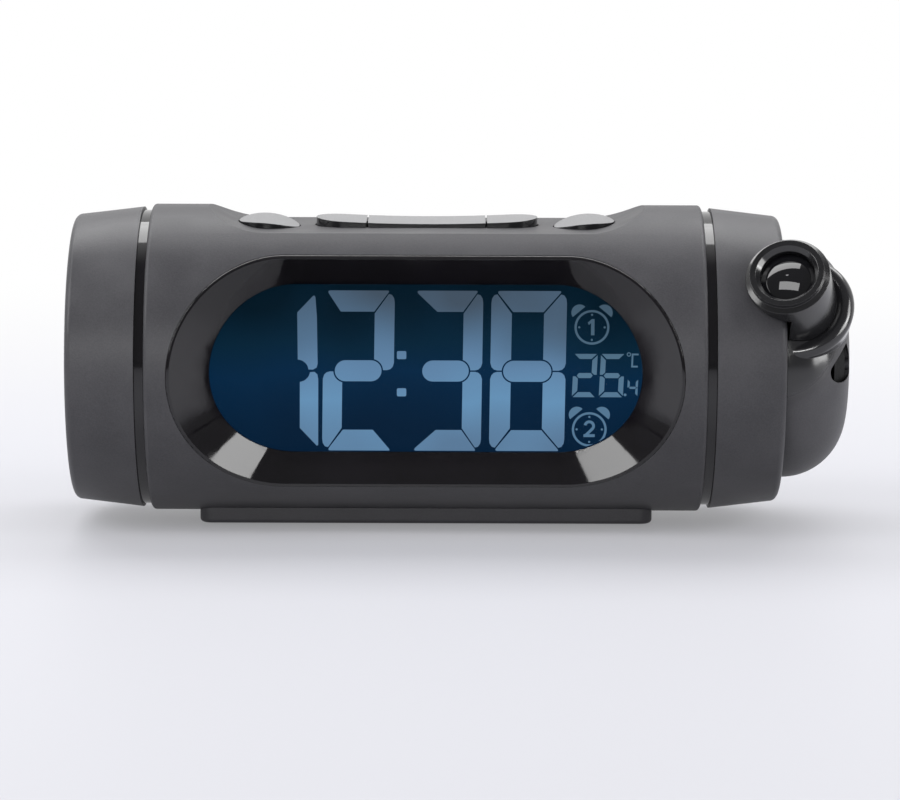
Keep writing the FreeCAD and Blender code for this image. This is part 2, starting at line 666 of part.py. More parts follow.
def display():
    land = number("bezel_land")
    opening = funnel("funnel_opening", -land, 0)
    body_funnel = funnel("funnel_outside", 0, number("bezel_wall"))
    rim = ring("bezel_rim", "body_radius", "bezel_back", "-bezel_half - 2", "2 * bezel_half + 4")
    cone = common("bezel_cone", rim, body_funnel)
    flange_ring = ring("flange_ring", "body_radius - casing_wall - 0.1", "body_radius - casing_wall - 1.5",
                       "-body_half + casing_wall + 0.5", "2 * (body_half - casing_wall - 0.5)")
    flange_outline = padded("flange_outline", "XZ_Plane", "body_radius - 1",
                            slot=("bezel_half + bezel_flange", "bezel_rise + bezel_flange"))
    put(flange_outline, "0", "-body_radius")
    flange = common("bezel_flange", flange_ring, flange_outline)
    seat_ring = rod("seat_ring", "lip_radius - 0.8", ("-body_half", "0", "0"), "2 * body_half", (1, 0, 0))
    seat_outline = padded("seat_outline", "XZ_Plane", "2 * body_radius",
                          slot=("lip_half + window_border + 0.15", "lip_rise + window_border + 0.15"))
    seat = common("window_seat", seat_ring, seat_outline)
    node(cut("display_bezel", fuse("bezel_solid", [cone, flange]), [opening, seat]), "display_bezel")

    pane = ring("window_pane", "lip_radius - 0.9", "lip_radius - 0.9 - window_wall", "-body_half", "2 * body_half")
    pane_outline = padded("pane_outline", "XZ_Plane", "2 * body_radius - 2",
                          slot=("lip_half + window_border", "lip_rise + window_border"))
    put(pane_outline, "0", "-body_radius")
    node(common("display_window", pane, pane_outline), "display_window")

    glass_back = "(glass_thick - glass_front)"
    glass = box("display_glass", ("-glass_half", "glass_half"), ("-glass_front", glass_back),
                ("-glass_rise", "glass_rise"))
    node(glass, "display_glass")
    frame_back = "(glass_thick - glass_front + frame_depth)"
    tray = box("frame_tray", ("-frame_half", "frame_half"), (glass_back, frame_back), ("-frame_rise", "frame_rise"))
    guide_half = "(glass_half - 0.6)"
    guide_rise = "(glass_rise - 0.6)"
    room = box("frame_room", ("-%s - 0.1" % guide_half, guide_half + " + 0.1"),
               (glass_back + " - 1", glass_back + " + guide_thick + 0.1"),
               ("-%s - 0.1" % guide_rise, guide_rise + " + 0.1"))
    node(cut("display_frame", tray, [room]), "display_frame")
    node(box("light_guide", ("-" + guide_half, guide_half), (glass_back, glass_back + " + guide_thick"),
             ("-" + guide_rise, guide_rise)), "light_guide")
    board = box("main_board", ("-board_half", "board_half"), (frame_back, frame_back + " + board_thick"),
                ("-board_rise", "board_rise"))
    node(board, "main_board")
    ribbon = padded("display_ribbon", "YZ_Plane", "60", [
        (glass_back + " - 0.3", "-glass_rise"), (glass_back + " - 0.3", "-frame_rise - 0.3"),
        (frame_back, "-frame_rise - 0.3"), (frame_back, "-frame_rise"), (glass_back, "-frame_rise"),
        (glass_back, "-glass_rise")])
    node(ribbon, "display_ribbon")

    rear = frame_back + " + board_thick"
    chips = [box("clock_chip", ("-9", "9"), (rear, rear + " + 1.6"), ("-6", "6")),
             box("driver_chip", ("-34", "-26"), (rear, rear + " + 1.4"), ("0", "8")),
             rod("crystal_can", "1.5", ("18", rear + " + 1.5", "-10"), "6"),
             rod("capacitor_one", "3", ("34", rear, "12"), "8", (0, 1, 0)),
             rod("capacitor_two", "2.5", ("42", rear, "12"), "7", (0, 1, 0)),
             box("key_plug", ("-12", "6"), (rear, rear + " + 4.5"), ("14", "20")),
             box("power_plug", ("40", "50"), (rear, rear + " + 4.5"), ("-16", "-10")),
             box("projector_plug", ("30", "38"), (rear, rear + " + 4.5"), ("-16", "-10"))]
    node(group("board_parts", chips), "board_parts")


# The five keys on top, their board and their switches
def slope(tilt):
    """The direction to the rear that rises by an angle."""
    return (0, number("cos(%s)" % tilt), number("sin(%s)" % tilt))


def round_key(side, sign):
    name = side + "_round_key"
    place = sign + "round_key_place"
    bottom = "(%s - 0.1 - key_lip)" % KEY_ROOF
    plan = rod(name + "_plan", "round_key_radius", (place, "round_key_depth", bottom), "12")
    lip = rod(name + "_lip", "round_key_radius + key_flange", (place, "round_key_depth", bottom), "key_lip")
    stem = rod(name + "_stem", "key_stem", (place, "round_key_depth", bottom + " - 0.5"), "1")
    outward = "+" if not sign else "-"
    drum = rod(name + "_crown", "round_key_crown",
               ("%s %s round_key_crown * sin(round_key_lean)" % (place, outward), "round_key_depth - 20",
                "flat_height + round_key_rise - round_key_crown * cos(round_key_lean) - 20 * tan(round_key_tilt)"),
               "40", slope("round_key_tilt"))
    node(common(name, fuse(name + "_blank", [plan, lip, stem]), drum), name)


def bar_key(name, low, high, middle):
    bottom = "(%s - 0.1 - key_lip)" % KEY_ROOF
    row = padded(name + "_row", "XY_Plane", "14", slot=("bar_half", "bar_depth / 2"))
    put(row, "0", "bar_centre", bottom + " + 7")
    lip = padded(name + "_lip", "XY_Plane", "key_lip", slot=("bar_half + key_flange", "bar_depth / 2 + key_flange"))
    put(lip, "0", "bar_centre", bottom + " + key_lip / 2")
    stem = rod(name + "_stem", "key_stem", (middle, "bar_centre", bottom + " - 0.5"), "1")
    slab = box(name + "_slab", (low, high), ("-body_radius", "body_radius"), ("key_board_top", "body_radius"))
    blank = common(name + "_blank", fuse(name + "_forms", [row, lip, stem]), slab)
    dish = rod(name + "_dish", "bar_dish",
               ("0", "-30", "flat_height + bar_rise + bar_dish - (30 - bar_depth / 2 + bar_centre) * tan(bar_tilt)"),
               "60", slope("bar_tilt"))
    node(cut(name, blank, [dish]), name)


def keys():
    round_key("left", "-")
    round_key("right", "")
    joint = "bar_joint / 2"
    outer = "((bar_half + bar_split) / 2)"
    bar_key("left_bar_key", "-body_half", "-bar_split - " + joint, "-" + outer)
    bar_key("snooze_key", "-bar_split + " + joint, "bar_split - " + joint, "0")
    bar_key("right_bar_key", "bar_split + " + joint, "body_half", outer)
    board = box("key_board", ("-key_board_half", "key_board_half"), ("-key_board_front", "key_board_rear"),
                ("key_board_top - board_thick", "key_board_top"))
    node(board, "key_board")
    switches = []
    for index, (x, y) in enumerate([("-round_key_place", "round_key_depth"), ("-" + outer, "bar_centre"),
                                    ("0", "bar_centre"), (outer, "bar_centre"),
                                    ("round_key_place", "round_key_depth")]):
        case = box("switch_case_%d" % index, ("%s - switch_size / 2" % x, "%s + switch_size / 2" % x),
                   ("%s - switch_size / 2" % y, "%s + switch_size / 2" % y),
                   ("key_board_top", "key_board_top + switch_tall"))
        plunger = rod("switch_plunger_%d" % index, "plunger_radius", (x, y, "key_board_top"),
                      PLUNGER_TOP + " - key_board_top")
        switches.append(fuse("key_switch_%d" % index, [case, plunger]))
    node(group("key_switches", switches), "key_switches")


# End caps, gloss rings and the screws of the fixed body
def ring_corners():
    inner = "body_half"
    outer = CAP_START
    return [(inner, "end_wall_bore - 0.1"), ("(body_half - ring_lip)", "end_wall_bore - 0.1"),
            ("(body_half - ring_lip)", "end_wall_bore - 0.1 - ring_lip"), (outer, "end_wall_bore - 0.1 - ring_lip"),
            (outer, "cap_big_radius - cap_wall - 0.1 - ring_lip"),
            ("(body_half + ring_width + ring_lip)", "cap_big_radius - cap_wall - 0.1 - ring_lip"),
            ("(body_half + ring_width + ring_lip)", "cap_big_radius - cap_wall - 0.3"),
            (outer, "cap_big_radius - cap_wall - 0.1"), (outer, "ring_radius"), (inner, "ring_radius")]


def cap_corners():
    """The cap's wall and end face: tapered outside, rounded at the outer edge."""
    outer = CAP_END
    inner_face = "(body_half + ring_width + cap_length - cap_wall)"
    return [(CAP_START, "cap_big_radius - cap_wall"), (CAP_START, "cap_big_radius"),
            ("(body_half + ring_width + cap_length - cap_round)", "cap_small_radius + 0.1", "cap_round", "right"),
            (outer, "cap_small_radius - cap_round"), (outer, "0"), (inner_face, "0"),
            (inner_face, "cap_small_radius - cap_wall")]


def mirrored(corners):
    """The same outline for the left end."""
    flipped = []
    for corner in corners:
        rest = corner[1:]
        if len(corner) == 3:
            rest = (corner[1], corner[2], "right")
        elif len(corner) == 4:
            rest = (corner[1], corner[2])
        flipped.append(("-%s" % corner[0],) + rest)
    return flipped


def end_pieces():
    for side, sign in (("left", "-"), ("right", "")):
        flip = mirrored if sign else list
        blank = turned(side + "_ring_blank", flip(ring_corners()))
        holes = [rod("%s_ring_hole_%d" % (side, index), "screw_radius + 0.25", ("-body_half - 20", y, z),
                     "2 * body_half + 40", (1, 0, 0)) for index, (y, z) in enumerate(cap_screw_places())]
        node(cut(side + "_seam_ring", blank, holes), side + "_seam_ring")
        cap = turned(side + "_cap_blank", flip(cap_corners()))
        low = CAP_START + " + ring_lip + 0.1" if not sign else "-" + CAP_END + " + 1"
        bosses = [rod("%s_cap_boss_%d" % (side, index), "2.4", (low, y, z), "cap_length - ring_lip - 1.1", (1, 0, 0))
                  for index, (y, z) in enumerate(cap_screw_places())]
        solid = [cap] + bosses
        pilots = [rod("%s_cap_pilot_%d" % (side, index), "screw_radius",
                      ("%s - %s" % (CAP_START, "1") if not sign else "-%s - cap_screw_long" % CAP_START, y, z),
                      "cap_screw_long + 1", (1, 0, 0)) for index, (y, z) in enumerate(cap_screw_places())]
        cuts = pilots
        if side == "right":
            solid.append(rod("bearing_sleeve", "hub_radius + sleeve_wall", ("%s - cap_wall - sleeve_long" % CAP_END,
                         "0", "0"), "cap_wall + sleeve_long", (1, 0, 0)))
            cuts = cuts + [rod("bearing_bore", "hub_radius + fit_gap", (CAP_START, "0", "0"), "cap_length + 1",
                               (1, 0, 0)), stop_groove()]
        node(cut(side + "_end_cap", fuse(side + "_cap_solid", solid), cuts), side + "_end_cap")

    screws = []
    for side, sign in (("left", "-"), ("right", "")):
        for index, (y, z) in enumerate(cap_screw_places()):
            along = (1, 0, 0) if not sign else (-1, 0, 0)
            wall = sign + "(body_half - casing_wall)"
            head = rod("%s_cap_screw_head_%d" % (side, index), "screw_head",
                       (sign + "(body_half - casing_wall - screw_head_tall)", y, z), "screw_head_tall", along)
            shank = rod("%s_cap_screw_shank_%d" % (side, index), "screw_radius - 0.05", (wall, y, z),
                        "casing_wall + ring_width + cap_screw_long - 1", along)
            screws.append(fuse("%s_cap_screw_%d" % (side, index), [head, shank]))
    node(group("cap_screws", screws), "cap_screws")
    screws = each_corner("casing_screw", lambda name, x, z: fuse(name, [
        rod(name + "_head", "screw_head", (x, "split_depth + rear_seat", z), "screw_head_tall", (0, 1, 0)),
        rod(name + "_shank", "screw_radius - 0.05", (x, "split_depth - screw_bite", z), "screw_bite + rear_seat",
            (0, 1, 0))]))
    node(group("casing_screws", screws), "casing_screws")


def stop_groove():
    """The half-ring groove in the cap's face in which the pod's stop pin runs."""
    slack = "57.3 * (stop_pin + fit_gap) / stop_circle"
    sectors = []
    for name, radius in (("groove_outer", "stop_circle + stop_pin + gap"),
                         ("groove_inner", "stop_circle - stop_pin - gap")):
        sector = doc.addObject("Part::Cylinder", name)
        sector.Placement = FreeCAD.Placement(Vector(), FreeCAD.Rotation(Vector(0, 0, 1), Vector(1, 0, 0)))
        tie(sector, "Radius", radius)
        tie(sector, "Height", "5")
        tie(sector, "Angle", "180 + 2 * " + slack if name == "groove_outer" else "360")
        sectors.append(put(sector, "%s - stop_deep - gap" % CAP_END))
    return turn(cut("stop_groove", sectors[0], [sectors[1]]), "-90 - " + slack)


# The foot
def foot():
    front = "-foot_front"
    rear = "foot_rear"
    front_top = "-sqrt(body_radius^2 - foot_front^2)"
    rear_top = "-sqrt(body_radius^2 - foot_rear^2)"
    plate = padded("foot_plate", "YZ_Plane", "2 * foot_half", [
        (front, FOOT_BOTTOM), (rear, FOOT_BOTTOM), (rear, rear_top, "body_radius", "right"), (front, front_top)])
    low = number(FOOT_BOTTOM)
    half = number("foot_half")

    def upright(edge):
        ends = [vertex.Point for vertex in edge.Vertexes]
        return len(ends) == 2 and abs(ends[0].x - ends[1].x) < 0.01 and abs(ends[0].y - ends[1].y) < 0.01

    def lower(edge):
        return all(abs(vertex.Point.z - low) < 0.01 for vertex in edge.Vertexes)

    round_edges(plate, "foot_corner", upright)
    corner = plate.Tip
    round_edges(plate, "foot_round", lower)
    plate.Tip.Label = "foot_lower_rounding"
    corner.Label = "foot_corner_rounding"
    middle = "foot_screw_depth"
    pad_room = box("pad_room", ("-pad_half - 0.1", "pad_half + 0.1"),
                   ("-foot_front + pad_border - 0.1", "foot_rear - pad_border + 0.1"),
                   ("-axis_height - 1", "-axis_height + pad_thick"))
    cuts = [pad_room]
    for index, x in enumerate(["foot_screw_place", "-foot_screw_place"]):
        cuts.append(rod("foot_screw_hole_%d" % index, "screw_radius + 0.25", (x, middle, "-axis_height"),
                        "10"))
        cuts.append(rod("foot_screw_sink_%d" % index, "screw_head + gap", (x, middle, "-axis_height - 1"),
                        "pad_thick + screw_head_tall + 1"))
    node(cut("foot", plate, cuts), "foot")
    pad = box("foot_pad", ("-pad_half", "pad_half"), ("-foot_front + pad_border", "foot_rear - pad_border"),
              ("-axis_height", "-axis_height + pad_thick"))
    node(pad, "foot_pad")
    screws = []
    for index, x in enumerate(["foot_screw_place", "-foot_screw_place"]):
        head_top = "-axis_height + pad_thick + screw_head_tall"
        screws.append(fuse("foot_screw_%d" % index, [
            rod("foot_screw_head_%d" % index, "screw_head", (x, middle, "-axis_height + pad_thick"),
                "screw_head_tall"),
            rod("foot_screw_shank_%d" % index, "screw_radius - 0.05", (x, middle, head_top), "6.5")]))
    node(group("foot_screws", screws), "foot_screws")


# The rear: cells, contacts, cover, keys, inlet and speaker
def battery_side():
    tilt = "-battery_tilt"
    middle = "(well_floor + gap + cell_radius)"
    cells = []
    contacts = []
    for index, (z, sign) in enumerate([("(cell_radius + gap)", "-"), ("-(cell_radius + gap)", "")]):
        can = rod("cell_can_%d" % index, "cell_radius", ("-cell_long / 2", middle, z), "cell_long - 1", (1, 0, 0))
        tip_start = "cell_long / 2 - 1" if not sign else "-cell_long / 2 - 1"
        tip = rod("cell_tip_%d" % index, "1.9", (tip_start, middle, z), "1.1", (1, 0, 0))
        cells.append(fuse("cell_%d" % index, [can, tip]))
        plus = "(well_half - 0.5)" if not sign else "-well_half"
        contacts.append(box("contact_plate_%d" % index, (plus, plus + " + 0.5"),
                            ("well_floor", "well_floor + 9"), (z + " - 4", z + " + 4")))
        low = "-well_half" if not sign else "(cell_long / 2 - 1 + 0.1)"
        high = "-cell_long / 2 - 0.1" if not sign else "well_half"
        contacts.append(rod("contact_spring_%d" % index, "3", (low, middle, z), "(%s) - (%s)" % (high, low),
                            (1, 0, 0), cone="2" if not sign else "3"))
    node(group("battery_cells", cells), "battery_cells", tilt)
    node(group("battery_contacts", contacts), "battery_contacts", tilt)

    plate = common("cover_plate", well_box("cover_box", "well_half + ledge", "well_rise + ledge",
                                           ("well_floor", "body_radius + 1")),
                   ring("cover_ring", "body_radius", "body_radius - cover_wall", "-body_half", "2 * body_half"))
    tongues = []
    for index, (low, high) in enumerate([("14", "20"), ("-20", "-14")]):
        flat = box("tongue_%d" % index, (low, high), ("body_radius - cover_wall - 5", "body_radius - cover_wall - 3.8"),
                   ("-well_rise - ledge - 2", "-well_rise + 1.2"))
        riser = box("tongue_riser_%d" % index, (low, high), ("body_radius - cover_wall - 5", "body_radius - 2"),
                    ("-well_rise + 0.2", "-well_rise + 1.2"))
        tongues += [flat, riser]
    notch = rod("thumb_notch", "9", ("0", "body_radius + 7.4", "well_rise - 1"), "6")
    cover = cut("battery_cover", fuse("cover_solid", [plate] + tongues), [notch])
    node(cover, "battery_cover", tilt)


def rear_keys():
    names = ["time_key", "alarm_key", "down_key", "up_key"]
    switches = []
    for index, name in enumerate(names):
        x = "rear_key_pitch * %.1f" % (index - 1.5)
        lip_low = "(%s - key_lip)" % REAR_LIP_TOP
        cap = rod(name + "_cap", "rear_key_radius", (x, lip_low, "0"), "body_radius + rear_key_proud - %s" % lip_low,
                  (0, 1, 0))
        lip = rod(name + "_lip", "rear_key_radius + 1.2", (x, lip_low, "0"), "key_lip", (0, 1, 0))
        stem = rod(name + "_stem", "key_stem", (x, lip_low + " - 0.5", "0"), "1", (0, 1, 0))
        node(fuse(name, [cap, lip, stem]), name, "rear_key_tilt")
        case = box("rear_switch_case_%d" % index, ("%s - 3" % x, "%s + 3" % x),
                   ("rear_board_place", "rear_board_place + switch_tall"), ("-3", "3"))
        plunger = rod("rear_switch_plunger_%d" % index, "plunger_radius", (x, "rear_board_place", "0"),
                      "%s - rear_board_place" % REAR_PLUNGER, (0, 1, 0))
        switches.append(fuse("rear_switch_%d" % index, [case, plunger]))
    board = box("rear_key_board", ("-2 * rear_key_pitch - 1.5", "2 * rear_key_pitch + 1.5"),
                ("rear_board_place - board_thick", "rear_board_place"), ("-5.5", "5.5"))
    node(board, "rear_key_board", "rear_key_tilt")
    node(group("rear_key_switches", switches), "rear_key_switches", "rear_key_tilt")


def power_inlet():
    mouth = "(body_radius - 0.4)"
    barrel = rod("inlet_barrel", "inlet_radius", ("inlet_place", mouth + " - inlet_depth - 2", "0"),
                 "inlet_depth + 2", (0, 1, 0))
    flange = rod("inlet_flange", "inlet_radius + 1.2", ("inlet_place", "body_radius - casing_wall - 1.8", "0"), "1.2",
                 (0, 1, 0))
    tail = box("inlet_tail", ("inlet_place - 4", "inlet_place + 4"), (mouth + " - inlet_depth - 5",
               mouth + " - inlet_depth - 1"), ("-4", "4"))
    bore = rod("inlet_bore", "inlet_bore", ("inlet_place", mouth + " - inlet_depth", "0"), "inlet_depth + 1", (0, 1, 0))
    pin = rod("inlet_pin", "inlet_pin", ("inlet_place", mouth + " - inlet_depth - 1", "0"), "inlet_depth", (0, 1, 0))
    hollow = cut("inlet_hollow", fuse("inlet_solid", [barrel, flange, tail]), [bore])
    node(fuse("power_inlet", [hollow, pin]), "power_inlet", "inlet_tilt")


def speaker():
    front = "speaker_front"
    profile = turned("speaker", [
        ("0", "-9"), ("6.5", "-9"), ("6.5", "-4"), ("speaker_radius - 2", "-2.2"), ("speaker_radius", "-2.2"),
        ("speaker_radius", "0"), ("speaker_radius - 1.5", "0"), ("speaker_radius - 1.5", "-0.8"),
        ("4", "-2.6"), ("0", "-2.2")], axis="V_Axis")
    profile.Placement = FreeCAD.Placement(Vector(), FreeCAD.Rotation(Vector(0, 0, 1), Vector(0, 1, 0)))
    put(profile, "-speaker_place", front)
    node(profile, "speaker")


# The projector pod: shell, base with hub, and what turns with them
def dome_corners(inset):
    """The pod's outline at an inset: a drum with a large rounding and a slightly crowned end."""
    radius = "(pod_corner - %s)" % inset
    top = "(pod_radius - %s)" % inset
    return [(POD_START if inset == "0" else "(%s - 1)" % POD_START, "0"),
            (POD_START if inset == "0" else "(%s - 1)" % POD_START, top),
            (CORNER_PLACE, top, radius, "right"),
            ("(%s + %s)" % (CORNER_PLACE, radius), CORNER_RISE, crown(CORNER_RISE, "pod_crown"), "right"),
            ("(pod_end - %s)" % inset, "0")]


def crown(radius, height):
    """The radius of a dome that rises by a height over a disc of a radius."""
    return "(%s^2 + %s^2) / (2 * %s)" % (radius, height, height)


def head_form(name, corners):
    return turned(name, corners, axis="V_Axis")


def pod_pieces():
    dome = turned("pod_dome", dome_corners("0"))
    hollow = turned("pod_hollow", dome_corners("pod_wall"))
    collar = head_form("pod_collar", [
        ("0", "0"), ("collar_root", "0"),
        ("rim_reach - rim_radius * (1 - cos(16))", "rim_place - rim_radius * sin(16)", "rim_radius"),
        ("mouth_radius", MOUTH), ("0", MOUTH)])
    lean(collar)
    bore = head_form("barrel_bore", [
        ("0", "tail_place - focus_travel - 1"), ("tail_radius + gap + 0.2", "tail_place - focus_travel - 1"),
        ("tail_radius + gap + 0.2", "barrel_start - focus_travel - gap"),
        ("shoulder_radius + fit_gap", "barrel_start - focus_travel - gap"),
        ("shoulder_radius + fit_gap", "head_long"), ("0", "head_long")])
    lean(bore)
    keep_clear = rod("cap_clearance", "cap_big_radius + gap", ("0", "0", "0"), POD_START, (1, 0, 0))
    wheel_room = wheel_form("wheel_room", "gap")
    window = focus_window()
    shell = cut("pod_open", fuse("pod_solid", [dome, collar]), [hollow, bore, keep_clear, wheel_room, window])
    post = rod("wheel_post", "wheel_post - fit_gap", ("wheel_inner + 0.3", WHEEL_Y, WHEEL_Z),
               "pod_end - wheel_inner", (1, 0, 0))
    posts = [rod("pod_post_%d" % index, "2.4", (POD_START + " + base_thick", y, z), "8", (1, 0, 0))
             for index, (y, z) in enumerate(pod_post_places())]
    held = common("pod_posts", fuse("pod_post_forms", posts + [post]), dome)
    pilots = [rod("pod_pilot_%d" % index, "screw_radius", (POD_START, y, z), "9.5", (1, 0, 0))
              for index, (y, z) in enumerate(pod_post_places())]
    node(cut("pod_shell", fuse("pod_whole", [shell, held]), pilots), "pod_shell", POD_TURN)

    plate = turned("base_blank", [
        (POD_START, "hub_bore"), (POD_START, "hub_radius"),
        (CAP_END, "hub_radius"), ("(%s - cap_wall - sleeve_long - hub_tail)" % CAP_END, "hub_radius"),
        ("(%s - cap_wall - sleeve_long - hub_tail)" % CAP_END, "hub_bore")])
    disc = ring("base_disc", "pod_radius - pod_wall - 0.1", "hub_bore", POD_START, "base_thick")
    pin = rod("stop_pin", "stop_pin", ("%s - stop_deep" % CAP_END, "0", "-stop_circle"), "stop_deep + pod_gap + 1",
              (1, 0, 0))
    groove = ring("hub_groove", "hub_radius + 1", "hub_radius - groove_deep",
                  "%s - cap_wall - sleeve_long - spring_thick - 0.1 - retainer_thick" % CAP_END, "retainer_thick")
    holes = [rod("base_hole_%d" % index, "screw_radius + 0.25", (POD_START + " - 1", y, z), "base_thick + 2",
                 (1, 0, 0)) for index, (y, z) in enumerate(pod_post_places())]
    holes += [rod("base_sink_%d" % index, "screw_head + 0.2", (POD_START + " - 1", y, z), "2.4", (1, 0, 0))
              for index, (y, z) in enumerate(pod_post_places())]
    node(cut("pod_base", fuse("base_solid", [plate, disc, pin]), [groove] + holes), "pod_base", POD_TURN)


def pod_post_places():
    """Three screw places in the pod, clear of the head and the focus wheel."""
    places = []
    for degrees in (10, 215, 290):
        places.append(("24.5 * %.6f" % math.cos(math.radians(degrees)), "24.5 * %.6f" % math.sin(math.radians(degrees))))
    return places


def wheel_form(name, grow):
    """The focus wheel's outline: it follows the pod's rounding where it looks out of the window."""
    reach = "sqrt(pod_corner^2 - (%s - %s)^2)"
    start = "(wheel_inner - %s)" % grow
    stop = "(wheel_outer + %s)" % grow
    first = "(%s + %s - wheel_sunk + 2 * %s - wheel_place)" % (CORNER_RISE, reach % ("wheel_inner", CORNER_PLACE), grow)
    last = "(%s + %s - wheel_sunk + 2 * %s - wheel_place)" % (CORNER_RISE, reach % ("wheel_outer", CORNER_PLACE), grow)
    form = turned(name, [(start, "0"), (start, first), (stop, last), (stop, "0")])
    put(form, "0", WHEEL_Y, WHEEL_Z)
    return form


def focus_window():
    """A teardrop cut straight through the pod's wall over the focus wheel, drawn in front view."""
    cosine = math.cos(math.radians(25))
    sine = math.sin(math.radians(25))
    window = padded("focus_window", "XZ_Plane", "pod_radius", [
        ("window_place - window_round * %.6f" % cosine, "-window_drop + window_round * %.6f" % sine, "window_round"),
        ("window_place", "-window_drop - window_round", "window_round"),
        ("window_place + window_round * %.6f" % cosine, "-window_drop + window_round * %.6f" % sine, "12"),
        ("window_place + window_slant", "window_tip - window_drop")])
    put(window, "0", "-pod_radius / 2 - wheel_place")
    return turn(group("focus_window_set", [window]), "head_lift - wheel_lift - 90")


def optics():
    tail = "tail_place"
    barrel = head_form("barrel_form", [
        ("lens_radius", "tail_place + 2"), ("tail_radius - 1.6", "tail_place + 2"), ("tail_radius - 1.6", tail),
        ("tail_radius", tail), ("tail_radius", "barrel_start"), ("shoulder_radius", "barrel_start"),
        ("shoulder_radius", "head_long - barrel_step"), ("barrel_radius", "head_long - barrel_step + 0.7"),
        ("barrel_radius", "head_long"), ("lens_radius + 1", "head_long"), ("lens_radius", "head_long - lens_sunk")])
    lean(barrel)
    arm = box("barrel_arm", ("wheel_inner - 6", "wheel_inner - 2.6"),
              (WHEEL_Y + " + crank_reach - 2.6", WHEEL_Y + " + crank_reach + 2.6"),
              (WHEEL_Z + " - 1.9", "tail_place + 3"))
    keep_clear = rod("barrel_clearance", "cap_big_radius + gap + focus_travel", ("0", "0", "0"),
                     POD_START + " + 0.25", (1, 0, 0))
    plate_clear = rod("plate_clearance", "pod_radius - pod_wall + gap + 0.6", ("0", "0", "0"),
                      POD_START + " + base_thick + gap + 0.4", (1, 0, 0))
    pin_slot = box("crank_slot", ("wheel_inner - 7", "wheel_inner"),
                   (WHEEL_Y + " + crank_reach - wheel_pin - 0.4", WHEEL_Y + " + crank_reach + wheel_pin + 0.4"),
                   (WHEEL_Z + " - wheel_pin - 0.15", WHEEL_Z + " + wheel_pin + 0.15"))
    node(cut("lens_barrel", fuse("barrel_solid", [barrel, arm]), [keep_clear, plate_clear, pin_slot]), "lens_barrel", POD_TURN)
    lens = head_form("projection_lens_form", [
        ("0", "head_long - lens_sunk - 3"), ("lens_radius - 0.1", "head_long - lens_sunk - 3"),
        ("lens_radius - 0.1", "head_long - lens_sunk + 0.3 - lens_crown", crown("(lens_radius - 0.1)", "lens_crown")),
        ("0", "head_long - lens_sunk + 0.3")])
    node(group("projection_lens", [lean(lens)]), "projection_lens", POD_TURN)

    tube = head_form("lamp_tube_form", [
        ("lamp_radius + 0.05", "-7"), ("tube_radius", "-7"), ("tube_radius", "3.5"), ("tube_wide", "3.5"),
        ("tube_wide", "8.8"), ("tube_wide - 0.9", "8.8"), ("tube_wide - 0.9", "4.4"), ("lamp_radius + 0.05", "4.4")])
    foot_plate = box("lamp_tube_foot", (POD_START + " + base_thick", "head_place - 2.7"), ("-3", "3"), ("-10", "2"))
    node(fuse("lamp_tube", [lean(tube), foot_plate]), "lamp_tube", POD_TURN)
    lamp = head_form("lamp_form", [
        ("0", "-6.5"), ("lamp_radius", "-6.5"), ("lamp_radius", "-1", crown("lamp_radius", "lamp_crown")),
        ("0", "lamp_crown - 1")])
    node(group("projector_lamp", [lean(lamp)]), "projector_lamp", POD_TURN)
    condenser = head_form("condenser_form", [
        ("0", "4.4"), ("tube_wide - 0.95", "4.4"),
        ("tube_wide - 0.95", "5.2", crown("(tube_wide - 0.95)", "condenser_crown")), ("0", "5.2 + condenser_crown")])
    node(group("condenser_lens", [lean(condenser)]), "condenser_lens", POD_TURN)
    slide = head_form("slide_form", [("0", "7.2"), ("tube_wide - 0.95", "7.2"), ("tube_wide - 0.95", "8.4"),
                                     ("0", "8.4")])
    node(group("slide_cell", [lean(slide)]), "slide_cell", POD_TURN)

    wheel = wheel_form("wheel_blank", "0")
    crank = rod("wheel_crank", "wheel_pin", ("wheel_inner - 6.5", WHEEL_Y + " + crank_reach", WHEEL_Z), "7.5",
                (1, 0, 0))
    bore = rod("wheel_bore", "wheel_post", ("wheel_inner - 1", WHEEL_Y, WHEEL_Z), "8", (1, 0, 0))
    node(cut("focus_wheel", fuse("wheel_solid", [wheel, crank]), [bore]), "focus_wheel", POD_TURN)

    retainer = ring("retaining_ring_blank", "retainer_radius", "hub_radius - groove_deep",
                    "%s - cap_wall - sleeve_long - spring_thick - 0.1 - retainer_thick" % CAP_END, "retainer_thick")
    mouth = box("retainer_mouth", ("0", "pod_end"), ("-3", "3"), ("0", "20"))
    node(cut("retaining_ring", retainer, [mouth]), "retaining_ring", POD_TURN)
    node(ring("friction_washer", "retainer_radius - 0.4", "hub_radius + 0.3",
              "%s - cap_wall - sleeve_long - spring_thick - 0.05" % CAP_END, "spring_thick"), "friction_washer")
    screws = []
    for index, (y, z) in enumerate(pod_post_places()):
        head = rod("pod_screw_head_%d" % index, "screw_head", (POD_START + " + 0.1", y, z), "1.2", (1, 0, 0))
        shank = rod("pod_screw_shank_%d" % index, "screw_radius - 0.05", (POD_START + " + 1.3", y, z), "7", (1, 0, 0))
        screws.append(fuse("pod_screw_%d" % index, [head, shank]))
    node(group("pod_screws", screws), "pod_screws", POD_TURN)


front_casing()
rear_casing()
display()
keys()
end_pieces()
foot()
battery_side()
rear_keys()
power_inlet()
speaker()
pod_pieces()
optics()

